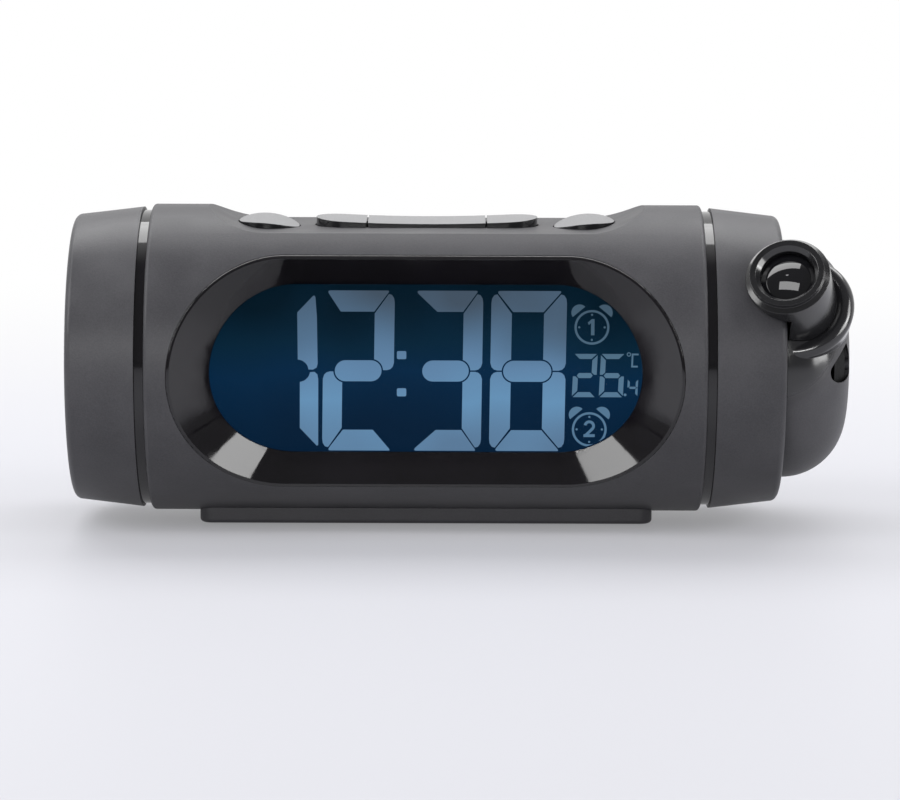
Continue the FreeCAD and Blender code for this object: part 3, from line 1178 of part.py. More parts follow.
doc.recompute()
failed = [thing.Label for thing in doc.Objects if "Invalid" in thing.State or "Error" in thing.State]
if failed:
    raise SystemExit("failed objects: " + ", ".join(failed))
for made in NODES:
    if made.Shape.isNull() or not made.Shape.isValid() or not made.Shape.Solids:
        raise SystemExit("no valid solid: " + made.Label)
os.makedirs("parts", exist_ok=True)
for made in NODES:
    made.Shape.exportStep("parts/%s.step" % made.Label)
    edges = made.Shape.BoundBox
    print("%-20s %2d solids %9.1f mm3  x %6.1f %6.1f  y %6.1f %6.1f  z %6.1f %6.1f" % (
        made.Label, len(made.Shape.Solids), made.Shape.Volume, edges.XMin, edges.XMax, edges.YMin, edges.YMax,
        edges.ZMin, edges.ZMax))
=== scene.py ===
import math

import bmesh
import bpy
from mathutils import Matrix, Vector


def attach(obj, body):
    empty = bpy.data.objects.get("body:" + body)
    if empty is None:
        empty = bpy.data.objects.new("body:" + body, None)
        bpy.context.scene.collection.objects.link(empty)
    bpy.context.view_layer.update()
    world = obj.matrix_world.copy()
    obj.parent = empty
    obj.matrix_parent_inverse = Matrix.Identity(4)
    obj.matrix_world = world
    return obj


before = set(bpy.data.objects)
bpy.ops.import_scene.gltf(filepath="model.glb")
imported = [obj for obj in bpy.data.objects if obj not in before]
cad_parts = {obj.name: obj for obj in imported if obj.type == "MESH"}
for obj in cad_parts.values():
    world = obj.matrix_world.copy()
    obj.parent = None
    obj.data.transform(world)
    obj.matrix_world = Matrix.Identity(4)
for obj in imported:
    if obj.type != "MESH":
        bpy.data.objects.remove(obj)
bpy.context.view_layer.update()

MM = 0.001
AXIS = 40.4             # the round body's axis above the table, mm
GLASS = -17.5           # front of the display glass, mm
GLASS_HALF = 21         # half the height that the display's colours run over, mm
POD_MIDDLE = 0.0955     # middle of the pod along the body, m
TILT = math.radians(53.2)   # the projector's head, forward from straight up
LEAN = math.radians(12)     # and inward, over the body
HEAD = (-math.sin(LEAN), -math.cos(LEAN) * math.sin(TILT), math.cos(LEAN) * math.cos(TILT))
DISPLAY = ("clock", "display_glass")    # body that everything drawn on the display rides on, and the name of the display glass's material slot


# Materials

def blank(name):
    made = bpy.data.materials.new(name)
    made.use_nodes = True
    tree = made.node_tree
    tree.nodes.clear()
    out = tree.nodes.new("ShaderNodeOutputMaterial")
    shader = tree.nodes.new("ShaderNodeBsdfPrincipled")
    tree.links.new(shader.outputs[0], out.inputs[0])
    return made, tree, shader


def noise(tree, scale, detail=2.0, rough=0.5):
    where = tree.nodes.new("ShaderNodeTexCoord")
    made = tree.nodes.new("ShaderNodeTexNoise")
    made.inputs["Scale"].default_value = scale
    made.inputs["Detail"].default_value = detail
    made.inputs["Roughness"].default_value = rough
    tree.links.new(where.outputs["Object"], made.inputs["Vector"])
    return made.outputs["Fac"]


def ramp(tree, factor, stops):
    """A colour that runs through (place, colour) stops."""
    made = tree.nodes.new("ShaderNodeValToRGB")
    steps = made.color_ramp.elements
    while len(steps) < len(stops):
        steps.new(0.5)
    for step, (place, colour) in zip(steps, stops):
        step.position = place
        step.color = tuple(colour) + (1,)
    tree.links.new(factor, made.inputs["Fac"])
    return made.outputs["Color"]


def math_node(tree, kind, first, second=None, third=None):
    made = tree.nodes.new("ShaderNodeMath")
    made.operation = kind
    for index, thing in enumerate((first, second, third)):
        if thing is None:
            continue
        if isinstance(thing, (int, float)):
            made.inputs[index].default_value = thing
        else:
            tree.links.new(thing, made.inputs[index])
    return made.outputs[0]


def spread(tree, value, low, high, out_low, out_high):
    """Maps low..high smoothly to out_low..out_high."""
    made = tree.nodes.new("ShaderNodeMapRange")
    made.interpolation_type = "SMOOTHSTEP"
    for index, number in enumerate((low, high, out_low, out_high)):
        made.inputs[index + 1].default_value = number
    tree.links.new(value, made.inputs[0])
    return made.outputs[0]


def colour_mix(tree, factor, first, second):
    made = tree.nodes.new("ShaderNodeMix")
    made.data_type = "RGBA"
    tree.links.new(factor, made.inputs[0])
    for socket, thing in ((made.inputs[6], first), (made.inputs[7], second)):
        if isinstance(thing, (tuple, list)):
            socket.default_value = tuple(thing) + (1,)
        else:
            tree.links.new(thing, socket)
    return made.outputs[2]


def grain(tree, shader, scale, strength, edge=0.25):
    """Fine moulded texture, with a soft light-catching rounding on the piece's edges."""
    bump = tree.nodes.new("ShaderNodeBump")
    bump.inputs["Strength"].default_value = strength
    bump.inputs["Distance"].default_value = 0.0001
    tree.links.new(noise(tree, scale, 3.0, 0.6), bump.inputs["Height"])
    if edge:
        bevel = tree.nodes.new("ShaderNodeBevel")
        bevel.samples = 6
        bevel.inputs["Radius"].default_value = edge * MM
        tree.links.new(bevel.outputs[0], bump.inputs["Normal"])
    tree.links.new(bump.outputs[0], shader.inputs["Normal"])
    return bump


def speckled(tree, dark, light, scale=2600):
    """Moulded plastic's colour: broad mottling under a fine speck. Gives the colour and the mottling."""
    mottle = noise(tree, 70, 3.0)
    speck = noise(tree, scale, 2.0)
    both = math_node(tree, "MULTIPLY_ADD", speck, 0.45, math_node(tree, "MULTIPLY", mottle, 0.55))
    return ramp(tree, both, [(0.35, dark), (0.62, light)]), mottle


def plastic(name, dark, light, roughness, scale=2600, strength=0.25, edge=0.25, level=0.5):
    made, tree, shader = blank(name)
    colour, mottle = speckled(tree, dark, light, scale)
    tree.links.new(colour, shader.inputs["Base Color"])
    rough = spread(tree, mottle, 0.3, 0.7, roughness - 0.04, roughness + 0.05)
    tree.links.new(rough, shader.inputs["Roughness"])
    shader.inputs["Specular IOR Level"].default_value = level
    grain(tree, shader, scale, strength, edge)
    return made


def metal(name, dark, light, roughness, scale=900):
    made, tree, shader = blank(name)
    colour = ramp(tree, noise(tree, scale, 4.0), [(0.35, dark), (0.65, light)])
    rough = spread(tree, noise(tree, 300, 3.0), 0.3, 0.7, roughness - 0.06, roughness + 0.08)
    tree.links.new(colour, shader.inputs["Base Color"])
    tree.links.new(rough, shader.inputs["Roughness"])
    shader.inputs["Metallic"].default_value = 1.0
    grain(tree, shader, scale, 0.12, 0.1)
    return made


def axes(tree, coordinates="Object"):
    """The three coordinates of a point, as separate outputs."""
    where = tree.nodes.new("ShaderNodeTexCoord")
    parts = tree.nodes.new("ShaderNodeSeparateXYZ")
    tree.links.new(where.outputs[coordinates], parts.inputs[0])
    return parts.outputs


def glow(name, stops, middle, cloudy):
    """A lit display surface whose colour changes with height, about a middle height in mm."""
    made, tree, shader = blank(name)
    up = spread(tree, axes(tree)["Z"], (middle - GLASS_HALF) * MM, (middle + GLASS_HALF) * MM, 0.0, 1.0)
    cloud = spread(tree, noise(tree, 38, 1.0), 0.25, 0.75, -cloudy, cloudy)
    tree.links.new(ramp(tree, math_node(tree, "ADD", up, cloud), stops), shader.inputs["Emission Color"])
    shader.inputs["Emission Strength"].default_value = 1.0
    shader.inputs["Base Color"].default_value = (0.002, 0.004, 0.008, 1)
    shader.inputs["Roughness"].default_value = 0.25
    shader.inputs["Specular IOR Level"].default_value = 0.0
    return made


def clear(name, tint, alpha, roughness=0.02, level=0.5):
    """Polished acrylic, of which alpha is the share that isn't seen through."""
    made, tree, shader = blank(name)
    colour = ramp(tree, noise(tree, 120, 2.0), [(0.3, tint), (0.7, [part * 1.06 for part in tint])])
    tree.links.new(colour, shader.inputs["Base Color"])
    shader.inputs["Roughness"].default_value = roughness
    shader.inputs["Alpha"].default_value = alpha
    shader.inputs["IOR"].default_value = 1.49
    shader.inputs["Specular IOR Level"].default_value = level
    return made


def pod_plastic(dark, light, gloss_dark):
    """The pod: matte like the casing, but polished black round the head."""
    made, tree, shader = blank("pod_plastic")
    where = tree.nodes.new("ShaderNodeTexCoord")
    along = tree.nodes.new("ShaderNodeVectorMath")
    along.operation = "DOT_PRODUCT"
    shift = tree.nodes.new("ShaderNodeVectorMath")
    shift.operation = "SUBTRACT"
    shift.inputs[1].default_value = (POD_MIDDLE, 0.0, AXIS * MM)
    tree.links.new(where.outputs["Object"], shift.inputs[0])
    tree.links.new(shift.outputs[0], along.inputs[0])
    along.inputs[1].default_value = HEAD
    polish = spread(tree, along.outputs["Value"], 0.0185, 0.0232, 0.0, 1.0)
    matte = speckled(tree, dark, light)[0]
    tree.links.new(colour_mix(tree, polish, matte, gloss_dark), shader.inputs["Base Color"])
    tree.links.new(spread(tree, polish, 0.0, 1.0, 0.46, 0.17), shader.inputs["Roughness"])
    tree.links.new(spread(tree, polish, 0.0, 1.0, 0.30, 0.75), shader.inputs["Specular IOR Level"])
    bump = grain(tree, shader, 2600, 0.25)
    tree.links.new(spread(tree, polish, 0.0, 1.0, 0.25, 0.02), bump.inputs["Strength"])
    return made


def key_painted_lit_top_plastic():
    """Painted light: the key's upward-facing top is coloured a pale, less glossy grey as if lit from above;
    its side wall is glossy black.
    """
    made, tree, shader = blank("key_painted_lit_top_plastic")
    facing = tree.nodes.new("ShaderNodeNewGeometry")
    parts = tree.nodes.new("ShaderNodeSeparateXYZ")
    tree.links.new(facing.outputs["Normal"], parts.inputs[0])
    # Painted light: faces turned upward get the pale colour of a lit top, and side walls keep the dark
    # colour.
    top = spread(tree, parts.outputs["Z"], 0.55, 0.80, 0.0, 1.0)
    speck = noise(tree, 2600, 2.0)
    painted_lit_top = ramp(tree, speck, [(0.35, (0.135, 0.135, 0.138)), (0.62, (0.185, 0.185, 0.190))])
    tree.links.new(colour_mix(tree, top, (0.010, 0.010, 0.011), painted_lit_top), shader.inputs["Base Color"])
    tree.links.new(spread(tree, top, 0.0, 1.0, 0.12, 0.30), shader.inputs["Roughness"])
    grain(tree, shader, 2600, 0.08, 0.3)
    return made


casing = plastic("casing_plastic", (0.038, 0.0375, 0.041), (0.053, 0.052, 0.056), 0.46, level=0.26)
cap = plastic("cap_plastic", (0.038, 0.0375, 0.041), (0.054, 0.053, 0.057), 0.42, level=0.30)
foot_black = plastic("foot_plastic", (0.019, 0.018, 0.021), (0.028, 0.027, 0.031), 0.5, 3200, 0.3)
gloss = plastic("gloss_black", (0.0035, 0.003, 0.004), (0.006, 0.005, 0.007), 0.07, 900, 0.015, 0.3, 0.62)
barrel = plastic("barrel_black", (0.006, 0.006, 0.0065), (0.012, 0.012, 0.013), 0.16, 1500, 0.02, 0.25, 0.7)
keys = key_painted_lit_top_plastic()
rubber = plastic("pad_rubber", (0.006, 0.006, 0.006), (0.014, 0.014, 0.014), 0.8, 1800, 0.5, 0.2, 0.25)
chip = plastic("chip_black", (0.010, 0.010, 0.011), (0.022, 0.022, 0.024), 0.4, 2000, 0.2)
board = plastic("board_green", (0.008, 0.060, 0.022), (0.014, 0.095, 0.038), 0.35, 1200, 0.1)
white = plastic("white_plastic", (0.60, 0.61, 0.61), (0.72, 0.73, 0.73), 0.45, 2000, 0.1)
jacket = plastic("cell_jacket", (0.16, 0.17, 0.18), (0.23, 0.24, 0.25), 0.3, 1500, 0.05)
steel = metal("screw_steel", (0.33, 0.33, 0.34), (0.50, 0.50, 0.51), 0.32)
spring = metal("spring_steel", (0.48, 0.48, 0.47), (0.66, 0.66, 0.65), 0.25)
foil = metal("copper_foil", (0.45, 0.24, 0.08), (0.62, 0.38, 0.16), 0.4)
pod_skin = pod_plastic((0.038, 0.0375, 0.041), (0.053, 0.052, 0.056), (0.009, 0.009, 0.010))
window = clear("window_clear", (0.004, 0.006, 0.010), 0.05, level=0.03)
lens_glass = clear("lens_dark", (0.004, 0.004, 0.005), 1.0, 0.03, level=0.7)
small_lens = clear("lens_clear", (0.5, 0.55, 0.6), 0.35)
panel = glow("display_dark", [(0.0, (0.0022, 0.014, 0.038)), (0.40, (0.0024, 0.022, 0.060)),
                              (0.70, (0.0024, 0.019, 0.040)), (1.0, (0.0012, 0.009, 0.017))], AXIS, 0.10)
lit = glow("display_lit", [(0.0, (0.115, 0.215, 0.350)), (0.25, (0.145, 0.310, 0.510)),
                           (0.50, (0.128, 0.250, 0.415)), (0.72, (0.096, 0.180, 0.290)),
                           (1.0, (0.062, 0.092, 0.130))], 0, 0.12)
faint = glow("display_small", [(0.0, (0.100, 0.205, 0.330)), (0.5, (0.100, 0.195, 0.290)),
                               (1.0, (0.060, 0.105, 0.150))], 0, 0.05)

SURFACES = {
    casing: ["front_casing", "rear_casing", "battery_cover"], cap: ["left_end_cap", "right_end_cap"],
    foot_black: ["foot"], gloss: ["display_bezel", "left_seam_ring", "right_seam_ring"],
    barrel: ["lens_barrel"],
    keys: ["left_round_key", "right_round_key", "left_bar_key", "snooze_key", "right_bar_key", "time_key",
           "alarm_key", "down_key", "up_key"],
    rubber: ["foot_pad", "focus_wheel"],
    chip: ["board_parts", "key_switches", "rear_key_switches", "speaker", "power_inlet", "pod_base",
           "lamp_tube"],
    board: ["main_board", "key_board", "rear_key_board"],
    white: ["light_guide", "display_frame", "friction_washer"], jacket: ["battery_cells"],
    steel: ["foot_screws", "casing_screws", "cap_screws", "pod_screws"],
    spring: ["battery_contacts", "retaining_ring"], foil: ["display_ribbon"], pod_skin: ["pod_shell"],
    window: ["display_window"], lens_glass: ["projection_lens"],
    small_lens: ["condenser_lens", "projector_lamp"], panel: ["display_glass", "slide_cell"],
}
for surface, names in SURFACES.items():
    for name in names:
        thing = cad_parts[name]
        if not thing.material_slots:
            thing.data.materials.append(surface)
        for place in thing.material_slots:
            place.material = surface


# What the display shows: flat polygons on the glass, drawn in millimetres from the display's middle

def arc(centre, radius, start, stop, steps=10):
    """Points round part of a circle, between two angles in degrees."""
    return [(centre[0] + radius * math.cos(math.radians(start + (stop - start) * i / steps)),
             centre[1] + radius * math.sin(math.radians(start + (stop - start) * i / steps)))
            for i in range(steps + 1)]


def rounded(corners):
    """Rounds each corner (x, z, radius) of a polygon."""
    made = []
    count = len(corners)
    for index, corner in enumerate(corners):
        here = Vector(corner[:2])
        radius = corner[2] if len(corner) > 2 else 0.12
        back = (Vector(corners[index - 1][:2]) - here)
        ahead = (Vector(corners[(index + 1) % count][:2]) - here)
        if radius <= 0 or back.length < 1e-6 or ahead.length < 1e-6:
            made.append(tuple(here))
            continue
        half = back.angle(ahead) / 2
        reach = min(radius / max(math.tan(half), 0.05), back.length * 0.48, ahead.length * 0.48)
        first = here + back.normalized() * reach
        last = here + ahead.normalized() * reach
        for step in range(6):
            share = step / 5
            made.append(tuple(first.lerp(here, share).lerp(here.lerp(last, share), share)))
    return made


def stroke(points, width, closed=False):
    """A line of one width as a polygon."""
    points = [Vector(point) for point in points]
    sides = [[], []]
    count = len(points)
    for index, point in enumerate(points):
        before = points[index - 1] if index or closed else None
        after = points[(index + 1) % count] if index < count - 1 or closed else None
        into = (point - before).normalized() if before is not None else (after - point).normalized()
        out = (after - point).normalized() if after is not None else into
        tangent = (into + out).normalized()
        normal = Vector((-tangent.y, tangent.x))
        reach = width / 2 / max(normal.dot(Vector((-into.y, into.x))), 0.4)
        sides[0].append(tuple(point + normal * reach))
        sides[1].append(tuple(point - normal * reach))
    return sides


def display_piece(name, mesh, surface, place=(0, 0, 0), smooth=False):
    """Makes an object of the mesh, which rides on the clock with the display glass."""
    data = bpy.data.meshes.new(name)
    mesh.to_mesh(data)
    mesh.free()
    for face in data.polygons:
        face.use_smooth = smooth
    made = bpy.data.objects.new(name, data)
    bpy.context.scene.collection.objects.link(made)
    made.location = place
    made.data.materials.append(surface)
    body, slot = DISPLAY
    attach(made, body)


class Flat:
    """Collects polygons and strips, and makes one thin plate of them."""

    def __init__(self):
        self.mesh = bmesh.new()

    def polygon(self, points):
        verts = [self.mesh.verts.new((x * MM, 0, z * MM)) for x, z in points]
        self.mesh.faces.new(verts)

    def strip(self, sides, closed=False):
        rows = [[self.mesh.verts.new((x * MM, 0, z * MM)) for x, z in side] for side in sides]
        count = len(rows[0])
        for index in range(count if closed else count - 1):
            after = (index + 1) % count
            self.mesh.faces.new((rows[0][index], rows[0][after], rows[1][after], rows[1][index]))

    def finish(self, name, surface):
        bmesh.ops.recalc_face_normals(self.mesh, faces=self.mesh.faces)
        for face in self.mesh.faces:
            if face.normal.y > 0:
                face.normal_flip()
        bmesh.ops.solidify(self.mesh, geom=list(self.mesh.faces), thickness=0.03 * MM)
        display_piece(name, self.mesh, surface, (0, (GLASS - 0.02) * MM, AXIS * MM))


DIGIT_HALF = 19.8       # half the height of a large digit
DIGIT_MIDDLE = -0.95    # its middle from the display's


def digit(flat, place, shape, wide, left_thick, right_thick, pill_ends):
    """A large digit. Its pieces meet at thin mitred gaps, and its middle piece is a pill."""
    half = DIGIT_HALF
    slant = 0.25
    flat_end = 5.2
    pill = 2.6
    gap = 0.36
    left = pill_ends[0] + pill
    right = pill_ends[1] - pill
    cut = pill + gap

    def put(points):
        flat.polygon([(place + x + slant * z / half, DIGIT_MIDDLE + z) for x, z in points])

    def side(sign_x, sign_z):
        """An upright piece: outside edge, mitre at the end, and a bite round the pill."""
        centre = right if sign_x > 0 else left
        outer = wide if sign_x > 0 else 0.0
        inner = wide - right_thick if sign_x > 0 else left_thick
        way = -1 if sign_x > 0 else 1
        away = sign_x * (inner - centre)
        top = math.degrees(math.acos(max(min(away / cut, 1), 0)))
        low = math.degrees(math.asin(gap / 2 / cut))
        bite = [(centre + sign_x * x, z) for x, z in arc((0, 0), cut, low, max(top, low + 1), 8)]
        end = half - flat_end
        edge = [(1.45, half - 0.85), (0.7, half - 1.05), (0.15, half - 1.9), (0, half - 3.0), (0, 2.0),
                (0.3, 1.0), (0.9, 0.4), (1.7, gap / 2)]
        outline = [(inner, end - 0.45)] + [(outer + way * x, z) for x, z in edge] + bite
        put([(x, sign_z * z) for x, z in outline])

    def level(sign_z, open_left):
        """The top or bottom piece. One that stands free at its left starts at open_left."""
        start = 1.15 if open_left is None else open_left
        inside = left_thick + 0.30 if open_left is None else 5.5 if wide < 17 else 4.2
        stop = wide - (1.15 if "c" in shape or sign_z > 0 else 0.5)
        low = half - flat_end
        outline = rounded([(start, half, 0.55), (stop, half, 0.35),
                           (wide - right_thick - 0.12, low, 0.2), (inside, low, 0.25)])
        put([(x, sign_z * z) for x, z in outline])

    for name in shape:
        if name == "a":
            level(1, None if "f" in shape else 0.75 if wide > 17 else 0.0)
        elif name == "d":
            level(-1, None if "e" in shape else -0.3)
        elif name == "g":
            put(arc((right, 0), pill, -90, 90, 14) + arc((left, 0), pill, 90, 270, 14))
        else:
            side(1 if name in "bc" else -1, 1 if name in "bf" else -1)


def one(flat, place):
    """The leading one, which is drawn as two pointed bars with a round bite between them."""
    bite = arc((0.0, 0.0), 2.72, 88, 6, 9)
    upper = [(0.0, 14.35), (3.75, 18.3), (4.15, 18.55), (4.45, 18.1), (4.8, 13.2), (4.95, 1.7), (4.7, 0.75),
             (3.8, 0.25)]
    flat.polygon([(place + x, z + DIGIT_MIDDLE) for x, z in upper + list(reversed(bite))])
    bite = arc((0.3, 0.0), 2.8, -8, -84, 9)
    lower = [(0.55, -14.2), (4.7, -18.6), (5.05, -18.45), (5.1, -2.3), (4.9, -0.95), (4.2, -0.3)]
    flat.polygon([(place + x, z + DIGIT_MIDDLE) for x, z in lower + bite])


def small_digit(flat, place, base, wide, tall, thick, shape, slant=0.045):
    """A small digit of seven plain bars with thin gaps."""
    gap = thick * 0.16
    middle = tall / 2

    def put(points):
        flat.polygon([(place + x + slant * z, base + z) for x, z in points])

    def across(z, sign):
        inside = z - sign * thick
        put([(gap, z), (wide - gap, z), (wide - thick - gap, inside), (thick + gap, inside)])

    for name in shape:
        if name == "a":
            across(tall, 1)
        elif name == "d":
            across(0, -1)
        elif name == "g":
            put([(thick * 0.6 + gap, middle), (thick + gap, middle + thick * 0.5),
                 (wide - thick - gap, middle + thick * 0.5), (wide - thick * 0.6 - gap, middle),
                 (wide - thick - gap, middle - thick * 0.5), (thick + gap, middle - thick * 0.5)])
        else:
            right = name in "bc"
            upper = name in "bf"
            outer = wide if right else 0
            way = -1 if right else 1
            ends = (tall - gap * 1.6, middle + gap) if upper else (gap * 1.6, middle - gap)
            turn = -1 if upper else 1
            put([(outer, ends[0]), (outer, ends[1]), (outer + way * thick * 0.5, ends[1]),
                 (outer + way * thick, ends[1] - turn * thick * 0.45),
                 (outer + way * thick, ends[0] + turn * thick)])


def alarm_icon(flat, centre, number):
    """A little alarm clock: ring, two bells, four dots and a number."""
    x, z = centre

    def around(points):
        return [(x + a, z + b) for a, b in points]

    flat.strip(stroke(around(arc((0, 0), 4.0, 0, 351, 39)), 0.55, True), True)
    for sign in (-1, 1):
        base = math.radians(90 - sign * 40)
        middle = (math.cos(base) * 4.75, math.sin(base) * 4.75)
        turn = math.degrees(base)
        flat.polygon(around(arc(middle, 2.0, turn - 84, turn + 84, 14)))
    for turn in (0, 90, 180, 270):
        spot = (3.1 * math.cos(math.radians(turn)), 3.1 * math.sin(math.radians(turn)))
        flat.polygon(around(arc(spot, 0.27, 0, 330, 11)))
    if number == 1:
        flat.polygon(around([(-1.05, 1.15), (0.0, 2.05), (0.62, 2.05), (0.62, -1.95), (-0.22, -1.95),
                             (-0.22, 1.05), (-0.75, 0.6)]))
    else:
        path = arc((0.0, 0.85), 1.05, 170, -35, 12) + [(-0.95, -1.55)]
        flat.strip(stroke(around(path), 0.68))
        flat.polygon(around([(-1.4, -1.2), (1.35, -1.2), (1.35, -1.9), (-1.4, -1.9)]))


big = Flat()
one(big, -31.5)
digit(big, -25.25, "abged", 17.35, 4.75, 4.85, (2.9, 14.35))
digit(big, -2.95, "abgcd", 16.65, 4.75, 4.75, (2.0, 13.4))
digit(big, 15.7, "abcdefg", 18.45, 5.05, 5.55, (3.15, 14.95))
for low in (1.95, -7.25):
    high = low + 2.0
    big.polygon(rounded([(-7.15, high, 0.4), (-4.85, high, 0.4), (-4.85, low, 0.4), (-7.15, low, 0.4)]))
big.finish("display_time", lit)

little = Flat()
small_digit(little, 35.7, -7.3, 5.8, 10.7, 1.25, "abged")
small_digit(little, 42.3, -7.3, 5.9, 10.7, 1.25, "afgecd")
little.polygon(arc((48.75, -6.7), 0.36, 0, 330, 11))
small_digit(little, 49.2, -7.1, 2.55, 4.3, 0.55, "fgbc")
little.strip(stroke(arc((49.6, 3.3), 0.42, 0, 330, 11), 0.24, True), True)
little.strip(stroke([(51.95, 3.3), (50.5, 3.3), (50.4, 0.3), (51.8, 0.3)], 0.42))
alarm_icon(little, (40.5, 9.95), 1)
alarm_icon(little, (40.05, -15.3), 2)
little.finish("display_small_signs", faint)


# The dark blue wall from the display glass out to the clear window

def stadium(half, rise):
    """Points round a long round-ended outline, counted anticlockwise from its lower right."""
    straight = half - rise
    return ([(straight + x, z) for x, z in arc((0, 0), rise, -90, 90, 24)]
            + [(x - straight, z) for x, z in arc((0, 0), rise, 90, 270, 24)])


WINDOW_BACK = 27.3      # the window's rear lies on a cylinder of this radius about the axis, mm
reveal = bmesh.new()
inner = [reveal.verts.new((x * MM, (GLASS - 0.12) * MM, (AXIS + z) * MM)) for x, z in stadium(53.3, 20.7)]
outer = [reveal.verts.new((x * MM, -math.sqrt(WINDOW_BACK ** 2 - z ** 2) * MM, (AXIS + z) * MM))
         for x, z in stadium(54.0, 21.9)]
for index in range(len(inner)):
    after = (index + 1) % len(inner)
    reveal.faces.new((inner[index], inner[after], outer[after], outer[index]))
bmesh.ops.solidify(reveal, geom=list(reveal.faces), thickness=0.05 * MM)
bmesh.ops.recalc_face_normals(reveal, faces=reveal.faces)
display_piece("display_reveal", reveal, panel, smooth=True)


# Camera, floor and light

FOCAL = 3950            # focal length, in pixels of a picture 900 wide
AWAY = 0.984            # from the body's axis to the camera, m
RISE = math.radians(8)  # how far round from level it stands

camera_data = bpy.data.cameras.new("camera")
camera_data.sensor_width = 36
camera_data.lens = FOCAL / 900 * camera_data.sensor_width
camera_data.clip_start = 0.05
camera_data.clip_end = 20
camera = bpy.data.objects.new("camera", camera_data)
bpy.context.scene.collection.objects.link(camera)
bpy.context.scene.camera = camera
camera.matrix_world = (Matrix.Translation((0.0066, -AWAY * math.cos(RISE), AXIS * MM + AWAY * math.sin(RISE)))
                       @ Matrix.Rotation(math.radians(0.0435), 4, "Z")
                       @ Matrix.Rotation(math.radians(81.38), 4, "X")
                       @ Matrix.Rotation(math.radians(0.18), 4, "Z"))

floor_data = bpy.data.meshes.new("floor")
floor_data.from_pydata([(-4, -3, 0), (4, -3, 0), (4, 5, 0), (-4, 5, 0)], [], [(0, 1, 2, 3)])
floor = bpy.data.objects.new("floor", floor_data)
bpy.context.scene.collection.objects.link(floor)


def floor_surface():
    """Pale floor that fades into the white backdrop behind the clock and keeps its shadow."""
    made, tree, shader = blank("floor_pale")
    shader.inputs["Base Color"].default_value = (0.33, 0.33, 0.352, 1)
    shader.inputs["Emission Color"].default_value = (0.98, 0.98, 1.0, 1)
    shader.inputs["Emission Strength"].default_value = 0.25
    shader.inputs["Roughness"].default_value = 0.55
    shader.inputs["Specular IOR Level"].default_value = 0.2
    out = [node for node in tree.nodes if node.type == "OUTPUT_MATERIAL"][0]
    backdrop = tree.nodes.new("ShaderNodeEmission")
    backdrop.inputs["Strength"].default_value = 1.0
    mix = tree.nodes.new("ShaderNodeMixShader")
    tree.links.new(spread(tree, axes(tree)["Y"], 0.03, 0.5, 0.0, 1.0), mix.inputs[0])
    tree.links.new(shader.outputs[0], mix.inputs[1])
    tree.links.new(backdrop.outputs[0], mix.inputs[2])
    tree.links.new(mix.outputs[0], out.inputs[0])
    return made


floor.data.materials.append(floor_surface())


def lamp(name, place, aim, size_x, size_y, power, only=(), never=()):
    """A soft box aimed at a point. It lights only some nodes, or all but some, where they are given."""
    data = bpy.data.lights.new(name, "AREA")
    data.shape = "RECTANGLE"
    data.size = size_x
    data.size_y = size_y
    data.energy = power
    made = bpy.data.objects.new(name, data)
    bpy.context.scene.collection.objects.link(made)
    made.location = place
    direction = Vector(aim) - Vector(place)
    made.rotation_euler = direction.to_track_quat("-Z", "Y").to_euler()
    if only or never:
        chosen = bpy.data.collections.new(name + "_pieces")
        for node in only or never:
            chosen.objects.link(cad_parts[node])
        if never:
            for entry in chosen.collection_objects:
                entry.light_linking.link_state = "EXCLUDE"
        made.light_linking.receiver_collection = chosen


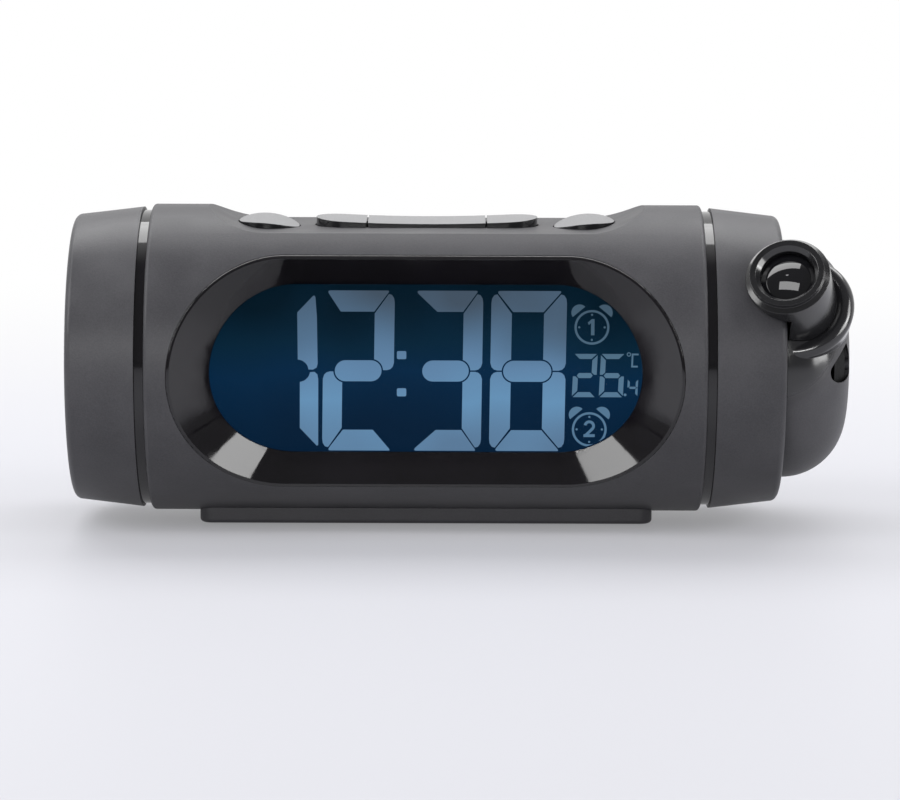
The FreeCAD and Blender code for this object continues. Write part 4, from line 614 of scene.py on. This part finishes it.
MATTE = ("front_casing", "rear_casing", "left_end_cap", "right_end_cap", "foot", "pod_shell")
HEART = (0.0, 0.0, AXIS * MM)
LENS = (0.087, -0.031, 0.064)
lamp("top_light", (0.0, 0.46, 0.79), HEART, 1.3, 0.48, 8.0)
lamp("front_light", (-0.25, -1.6, 0.46), HEART, 0.7, 0.22, 8.4, only=MATTE)
lamp("left_light", (-0.684, -0.276, 0.556), HEART, 0.40, 0.66, 4.6, never=("projection_lens",))
lamp("right_light", (0.75, -0.26, 0.46), HEART, 0.30, 0.48, 2.9)
lamp("pod_light", (0.9, -0.45, 0.25), HEART, 0.5, 0.4, 4.5, only=("pod_shell", "lens_barrel"))
lamp("lens_top_light", (-0.195, 0.019, 0.81), LENS, 0.24, 0.95, 3.4, only=("projection_lens",))
lamp("lens_low_light", (-0.116, -0.620, 0.56), LENS, 0.62, 0.26, 2.4, only=("projection_lens",))

world = bpy.data.worlds.new("studio")
bpy.context.scene.world = world
world.use_nodes = True
tree = world.node_tree
tree.nodes.clear()
out = tree.nodes.new("ShaderNodeOutputWorld")
path = tree.nodes.new("ShaderNodeLightPath")
toward = axes(tree, "Generated")
white_back = tree.nodes.new("ShaderNodeBackground")
white_back.inputs["Color"].default_value = (1, 1, 1, 1)
room = tree.nodes.new("ShaderNodeBackground")
room.inputs["Color"].default_value = (0.93, 0.94, 1.0, 1)
room.inputs["Strength"].default_value = 0.75

# What glossy surfaces see: pale behind the clock, darker in front, with a dark seam below the top
mirror = tree.nodes.new("ShaderNodeBackground")
mirror.inputs["Color"].default_value = (1, 1, 1, 1)
behind = spread(tree, toward["Y"], -0.15, 0.35, 0.16, 1.0)
lift = math_node(tree, "DIVIDE", toward["Z"], math_node(tree, "MAXIMUM", toward["Y"], 0.05))
seam = spread(tree, math_node(tree, "COMPARE", lift, 0.98, 0.12), 0.0, 1.0, 1.0, 0.3)
tree.links.new(math_node(tree, "MULTIPLY", behind, seam), mirror.inputs["Strength"])

first = tree.nodes.new("ShaderNodeMixShader")
glossy = math_node(tree, "MAXIMUM", path.outputs["Is Glossy Ray"], path.outputs["Is Transmission Ray"])
tree.links.new(glossy, first.inputs[0])
tree.links.new(room.outputs[0], first.inputs[1])
tree.links.new(mirror.outputs[0], first.inputs[2])
second = tree.nodes.new("ShaderNodeMixShader")
tree.links.new(path.outputs["Is Camera Ray"], second.inputs[0])
tree.links.new(first.outputs[0], second.inputs[1])
tree.links.new(white_back.outputs[0], second.inputs[2])
tree.links.new(second.outputs[0], out.inputs[0])

bpy.context.scene.view_settings.view_transform = "Standard"
